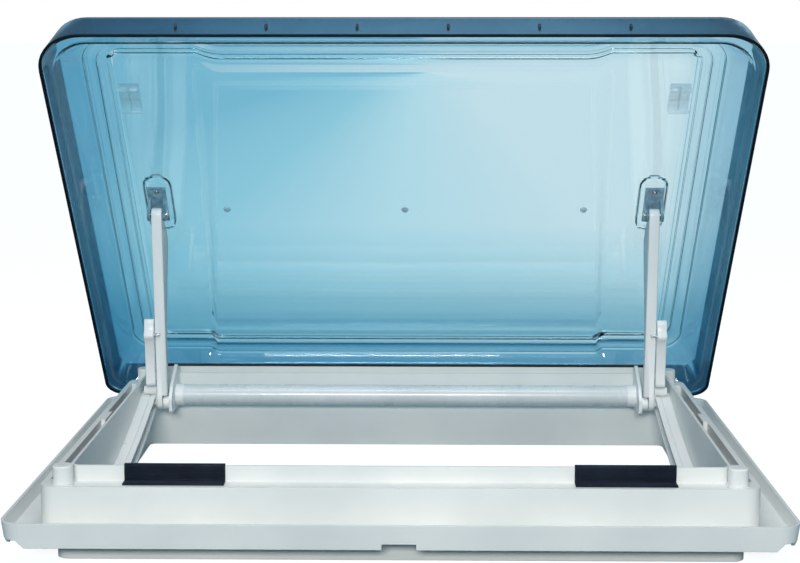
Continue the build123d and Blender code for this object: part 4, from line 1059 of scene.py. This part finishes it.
WHITE = (1, 1, 1)
# painted shade for rays through the lid: the floor glows blue to the left and near, fading to white to the
# right and far off
painted_shade_across = [
    (0.0, (0.32, 0.62, 0.76)), (0.45, (0.47, 0.76, 0.86)), (0.7, (0.78, 0.93, 0.97)), (1.0, WHITE),
]
painted_shade_away = [
    (0.0, (0.26, 0.48, 0.62)), (0.30, (0.40, 0.64, 0.74)), (0.50, (0.70, 0.86, 0.91)), (1.0, WHITE),
]
floor_axes = axes(floor_tree, "Object")
painted_shade_mix = floor_tree.nodes.new("ShaderNodeMix")
painted_shade_mix.data_type = "RGBA"
painted_shade_mix.blend_type = "MULTIPLY"
painted_shade_mix.inputs[0].default_value = 1.0
for socket, axis, low, high, stops in ((6, "X", -1.5, 0.5, painted_shade_across), (7, "Y", 0.6, 2.8, painted_shade_away)):
    run = coloured(floor_tree, rescaled(floor_tree, floor_axes[axis], low, high), stops)
    floor_tree.links.new(run, painted_shade_mix.inputs[socket])
# the painted glow that rays through the lid see in place of the floor
painted_glow_behind_lid = floor_tree.nodes.new("ShaderNodeEmission")
floor_tree.links.new(painted_shade_mix.outputs[2], painted_glow_behind_lid.inputs["Color"])
painted_glow_behind_lid.inputs["Strength"].default_value = 1.0
floor_rays = floor_tree.nodes.new("ShaderNodeLightPath").outputs
floor_level = calculated(floor_tree, "MULTIPLY", floor_rays["Is Camera Ray"], FLOOR_SEEN)
floor_shader.inputs["Emission Color"].default_value = (*WHITE, 1)
floor_tree.links.new(floor_level, floor_shader.inputs["Emission Strength"])
seen_plain, seen_through_painted = floor_shader.outputs["BSDF"], painted_glow_behind_lid.outputs["Emission"]
floor_and_painted_glow = mixed(floor_tree, floor_rays["Is Transmission Ray"], seen_plain, seen_through_painted)
floor_tree.links.new(floor_and_painted_glow, floor_tree.nodes["Material Output"].inputs["Surface"])
floor_mesh.materials.append(floor_finish)

world = bpy.data.worlds.new("soft_sky")
bpy.context.scene.world = world
world.use_nodes = True
sky = world.node_tree
sky_light = sky.nodes["Background"]
sky_light.inputs["Color"].default_value = (0.70, 0.87, 1.0, 1)
sky_light.inputs["Strength"].default_value = 0.27
sky_seen = sky.nodes.new("ShaderNodeBackground")
sky_seen.inputs["Color"].default_value = (*WHITE, 1)
sky_seen.inputs["Strength"].default_value = 1.0
# painted shade for rays through the lid: the sky glows blue to one side, fading to white
sky_painted_shade = sky.nodes.new("ShaderNodeBackground")
sky_shade_span = rescaled(sky, axes(sky, "Generated")["X"], -0.16, 0.02)
sky_shade_tones = [(0.0, (0.40, 0.66, 0.78)), (1.0, (0.97, 0.98, 1.0))]
tones(sky, sky_shade_span, sky_shade_tones, sky_painted_shade.inputs["Color"])
sky_rays = sky.nodes.new("ShaderNodeLightPath").outputs
sky_direct = mixed(
    sky, sky_rays["Is Camera Ray"], sky_light.outputs["Background"], sky_seen.outputs["Background"]
)
sky_and_painted_shade = mixed(sky, sky_rays["Is Transmission Ray"], sky_direct, sky_painted_shade.outputs["Background"])
sky.links.new(sky_and_painted_shade, sky.nodes["World Output"].inputs["Surface"])


def soft_lamp(name, place, aim, width, depth, power, colour):
    """A rectangular soft lamp that faces a point."""
    data = bpy.data.lights.new(name, "AREA")
    data.shape = "RECTANGLE"
    data.size, data.size_y = width, depth
    data.energy = power
    data.color = colour
    lamp = bpy.data.objects.new(name, data)
    lamp.location = place
    lamp.rotation_euler = (Vector(aim) - Vector(place)).to_track_quat("-Z", "Y").to_euler()
    bpy.context.scene.collection.objects.link(lamp)


soft_lamp("front_lamp", (-0.12, -2.9, 1.06), (0, 0, 0.10), 0.8, 0.34, 45, (1.0, 0.985, 0.955))
soft_lamp("top_lamp", (0.0, -1.1, 2.5), (0, -0.05, 0), 1.2, 0.8, 24, (0.98, 0.99, 1.0))

camera_data = bpy.data.cameras.new("camera")
camera_data.sensor_width = 36  # millimetres, as the lens
camera_data.lens = 74.22
camera = bpy.data.objects.new("camera", camera_data)
camera.location = (0.0262, -1.8521, 0.4949)
camera.rotation_euler = (radians(81.67), 0, radians(0.92))
bpy.context.scene.collection.objects.link(camera)
bpy.context.scene.camera = camera
bpy.context.scene.view_settings.view_transform = "Standard"
for bounces in ("transparent_max_bounces", "transmission_bounces", "max_bounces"):
    setattr(bpy.context.scene.cycles, bounces, 24)
